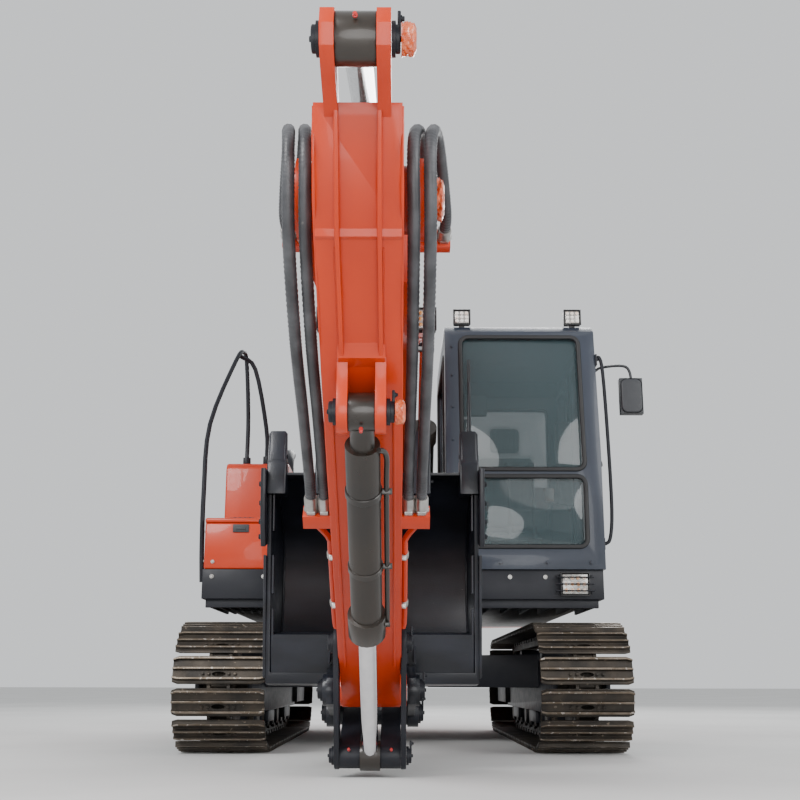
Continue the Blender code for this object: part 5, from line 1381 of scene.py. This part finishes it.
def make_deck_detail():
    """Ribs under the deck, bolts along its edges, and the cab's steps."""
    soften("revolving_frame", "black", 0.008)
    low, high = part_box("revolving_frame")
    bm = bmesh.new()
    for x0, x1 in ((0.22, 1.20), (-1.42, -1.00)):
        for i in range(8):
            x = x0 + (x1 - x0) * i / 7
            add_box(bm, (x - 0.010, low.y + 0.06, low.z - 0.050), (x + 0.010, low.y + 0.92, low.z + 0.004),
                    0.003, 1)
        add_box(bm, (x0 - 0.02, low.y + 0.03, low.z - 0.056), (x1 + 0.02, low.y + 0.06, low.z + 0.004), 0.004)
    piece("belly_ribs", bm, "black", "upper")
    bm = bmesh.new()
    for x in (-1.40, -1.05, 0.28, 0.62, 0.86):
        add_bolt(bm, (x, low.y - 0.0005, 1.15), (0, -1, 0), 0.018)
    for i in range(9):
        y = low.y + 0.20 + 0.42 * i
        for x, s in ((low.x, -1), (high.x, 1)):
            add_bolt(bm, (x + s * 0.0005, y, 1.14), (s, 0, 0), 0.018)
    piece("deck_bolts", bm, "steel", "upper")
    bm = bmesh.new()
    for y in (0.62, 1.10):
        step = Vector((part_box("cab_frame")[1].x - 0.02, y, 1.13))
        bar = [step + Vector(p) for p in ((0, -0.16, 0), (0.045, -0.15, -0.02), (0.050, 0.15, -0.02),
                                          (0, 0.16, 0))]
        add_tube(bm, curve_points(bar, 6), 0.012)
    piece("cab_steps", bm, "black", "upper")


def make_lamp_detail():
    """Lens, diodes and frame of every lamp, and the guard over the skirt lamp."""
    for node in ("right_roof_lamp", "left_roof_lamp", "right_boom_lamp", "left_boom_lamp", "skirt_lamp"):
        soften(node, "lamp_black", 0.008)
        low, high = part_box(node)
        body = NODE_BODY[node]
        on_roof = "roof" in node
        front, top = low.y, high.z
        bottom = top - (0.15 if node == "skirt_lamp" else 0.11 if on_roof else 0.14)
        bm = bmesh.new()
        add_box(bm, (low.x + 0.010, front - 0.004, bottom + 0.010),
                (high.x - 0.010, front + 0.006, top - 0.010), 0.003)
        piece(node + "_lens", bm, "lamp_lens", body)
        bm = bmesh.new()
        columns, rows = 3 if on_roof else 4, 3
        for i in range(columns):
            for k in range(rows):
                x = low.x + (high.x - low.x) * (i + 0.5) / columns * 0.86 + (high.x - low.x) * 0.07
                z = bottom + (top - bottom) * ((k + 0.5) / rows * 0.80 + 0.10)
                start = Vector((x, front - 0.003, z))
                add_turned(bm, start, start - Vector((0, 0.008, 0)), [(0, 0.013), (0.6, 0.012), (1, 0.004)],
                           14)
        piece(node + "_diodes", bm, "amber" if "boom" in node else "pale", body)
        bm = bmesh.new()
        for x in (low.x - 0.004, high.x - 0.004):
            add_box(bm, (x, front - 0.010, bottom - 0.004), (x + 0.008, front + 0.004, top + 0.004), 0.003)
        for z in (bottom - 0.004, top - 0.004):
            add_box(bm, (low.x - 0.004, front - 0.010, z), (high.x + 0.004, front + 0.004, z + 0.008), 0.003)
        piece(node + "_frame", bm, "lamp_black", body)
    low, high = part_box("skirt_lamp")
    bm = bmesh.new()
    for i in range(3):
        z = low.z + 0.030 + 0.045 * i
        bar = [(low.x - 0.02, low.y + 0.006, z), (low.x - 0.012, low.y - 0.016, z),
               (high.x + 0.012, low.y - 0.016, z), (high.x + 0.02, low.y + 0.006, z)]
        add_tube(bm, curve_points(bar, 6), 0.0045)
    for x in (low.x - 0.02, high.x + 0.02):
        for z in (low.z + 0.02, high.z - 0.02):
            add_bolt(bm, (x, low.y + 0.030, z), (0, -1, 0), 0.012)
    piece("lamp_guard", bm, "black", "upper")


def make_mirror_detail():
    """The mirror's glass and back, and the softened rails."""
    for node, material in (("mirror", "plastic"), ("handrail", "black"), ("grab_handle", "black")):
        soften(node, material, 0.010 if node == "mirror" else 0.001)
    low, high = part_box("mirror")
    x1, x0 = high.x - 0.012, high.x - 0.148
    bm = bmesh.new()
    glass = round_corners(x0, x1, low.z + 0.012, low.z + 0.248, 0.03)
    add_plate(bm, [Vector((x, low.y + 0.060, z)) for x, z in glass], (0, 0.004, 0), 0.001, 1)
    piece("mirror_glass", bm, "mirror", "upper")
    bm = bmesh.new()
    back = round_corners(x0 - 0.008, x1 + 0.008, low.z + 0.004, low.z + 0.256, 0.045)
    add_plate(bm, [Vector((x, low.y + 0.002, z)) for x, z in back], (0, -0.016, 0), 0.014, 4)
    piece("mirror_back", bm, "plastic", "upper")


def make_undercarriage_detail():
    """The bearing's ring of bolts, bolts on the car body, and the travel motors' lines."""
    soften("car_body", "black", 0.010)
    soften("swing_bearing", "black", 0.004)
    soften("engine_block", "black", 0.010)
    low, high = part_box("swing_bearing")
    middle = (low + high) / 2
    bm = bmesh.new()
    for x, y in circle(28, 0.545):
        add_bolt(bm, (middle.x + x, middle.y + y, low.z - 0.0005), (0, 0, -1), 0.022, False)
    piece("bearing_bolts", bm, "steel", "undercarriage")
    low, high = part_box("car_body")
    middle = (low + high) / 2
    bm = bmesh.new()
    for s in (-1, 1):
        for k in range(4):
            add_bolt(bm, (middle.x + s * (0.30 + 0.10 * k), middle.y, high.z - 0.0005), (0, 0, 1), 0.020)
    for s in (-1, 1):
        hose = [(middle.x + s * x, middle.y + y, z) for x, y, z in
                ((0.20, -0.15, 0.60), (0.45, 0.15, 0.52), (0.75, 0.85, 0.50), (0.90, 1.45, 0.45))]
        add_tube(bm, curve_points(hose, 10), 0.018, 12)
    piece("travel_lines", bm, "rubber", "undercarriage")


MATERIAL = {key: node_material(**look) for key, look in LOOKS.items()}
make_camera()
make_studio()
make_hoses()
make_tracks()
make_arm_detail()
make_boom_detail()
make_cylinder_detail()
make_link_detail()
make_bucket_detail()
make_cab_detail()
make_side_panels()
make_tank_detail()
make_counterweight_detail()
make_deck_detail()
make_lamp_detail()
make_mirror_detail()
make_undercarriage_detail()
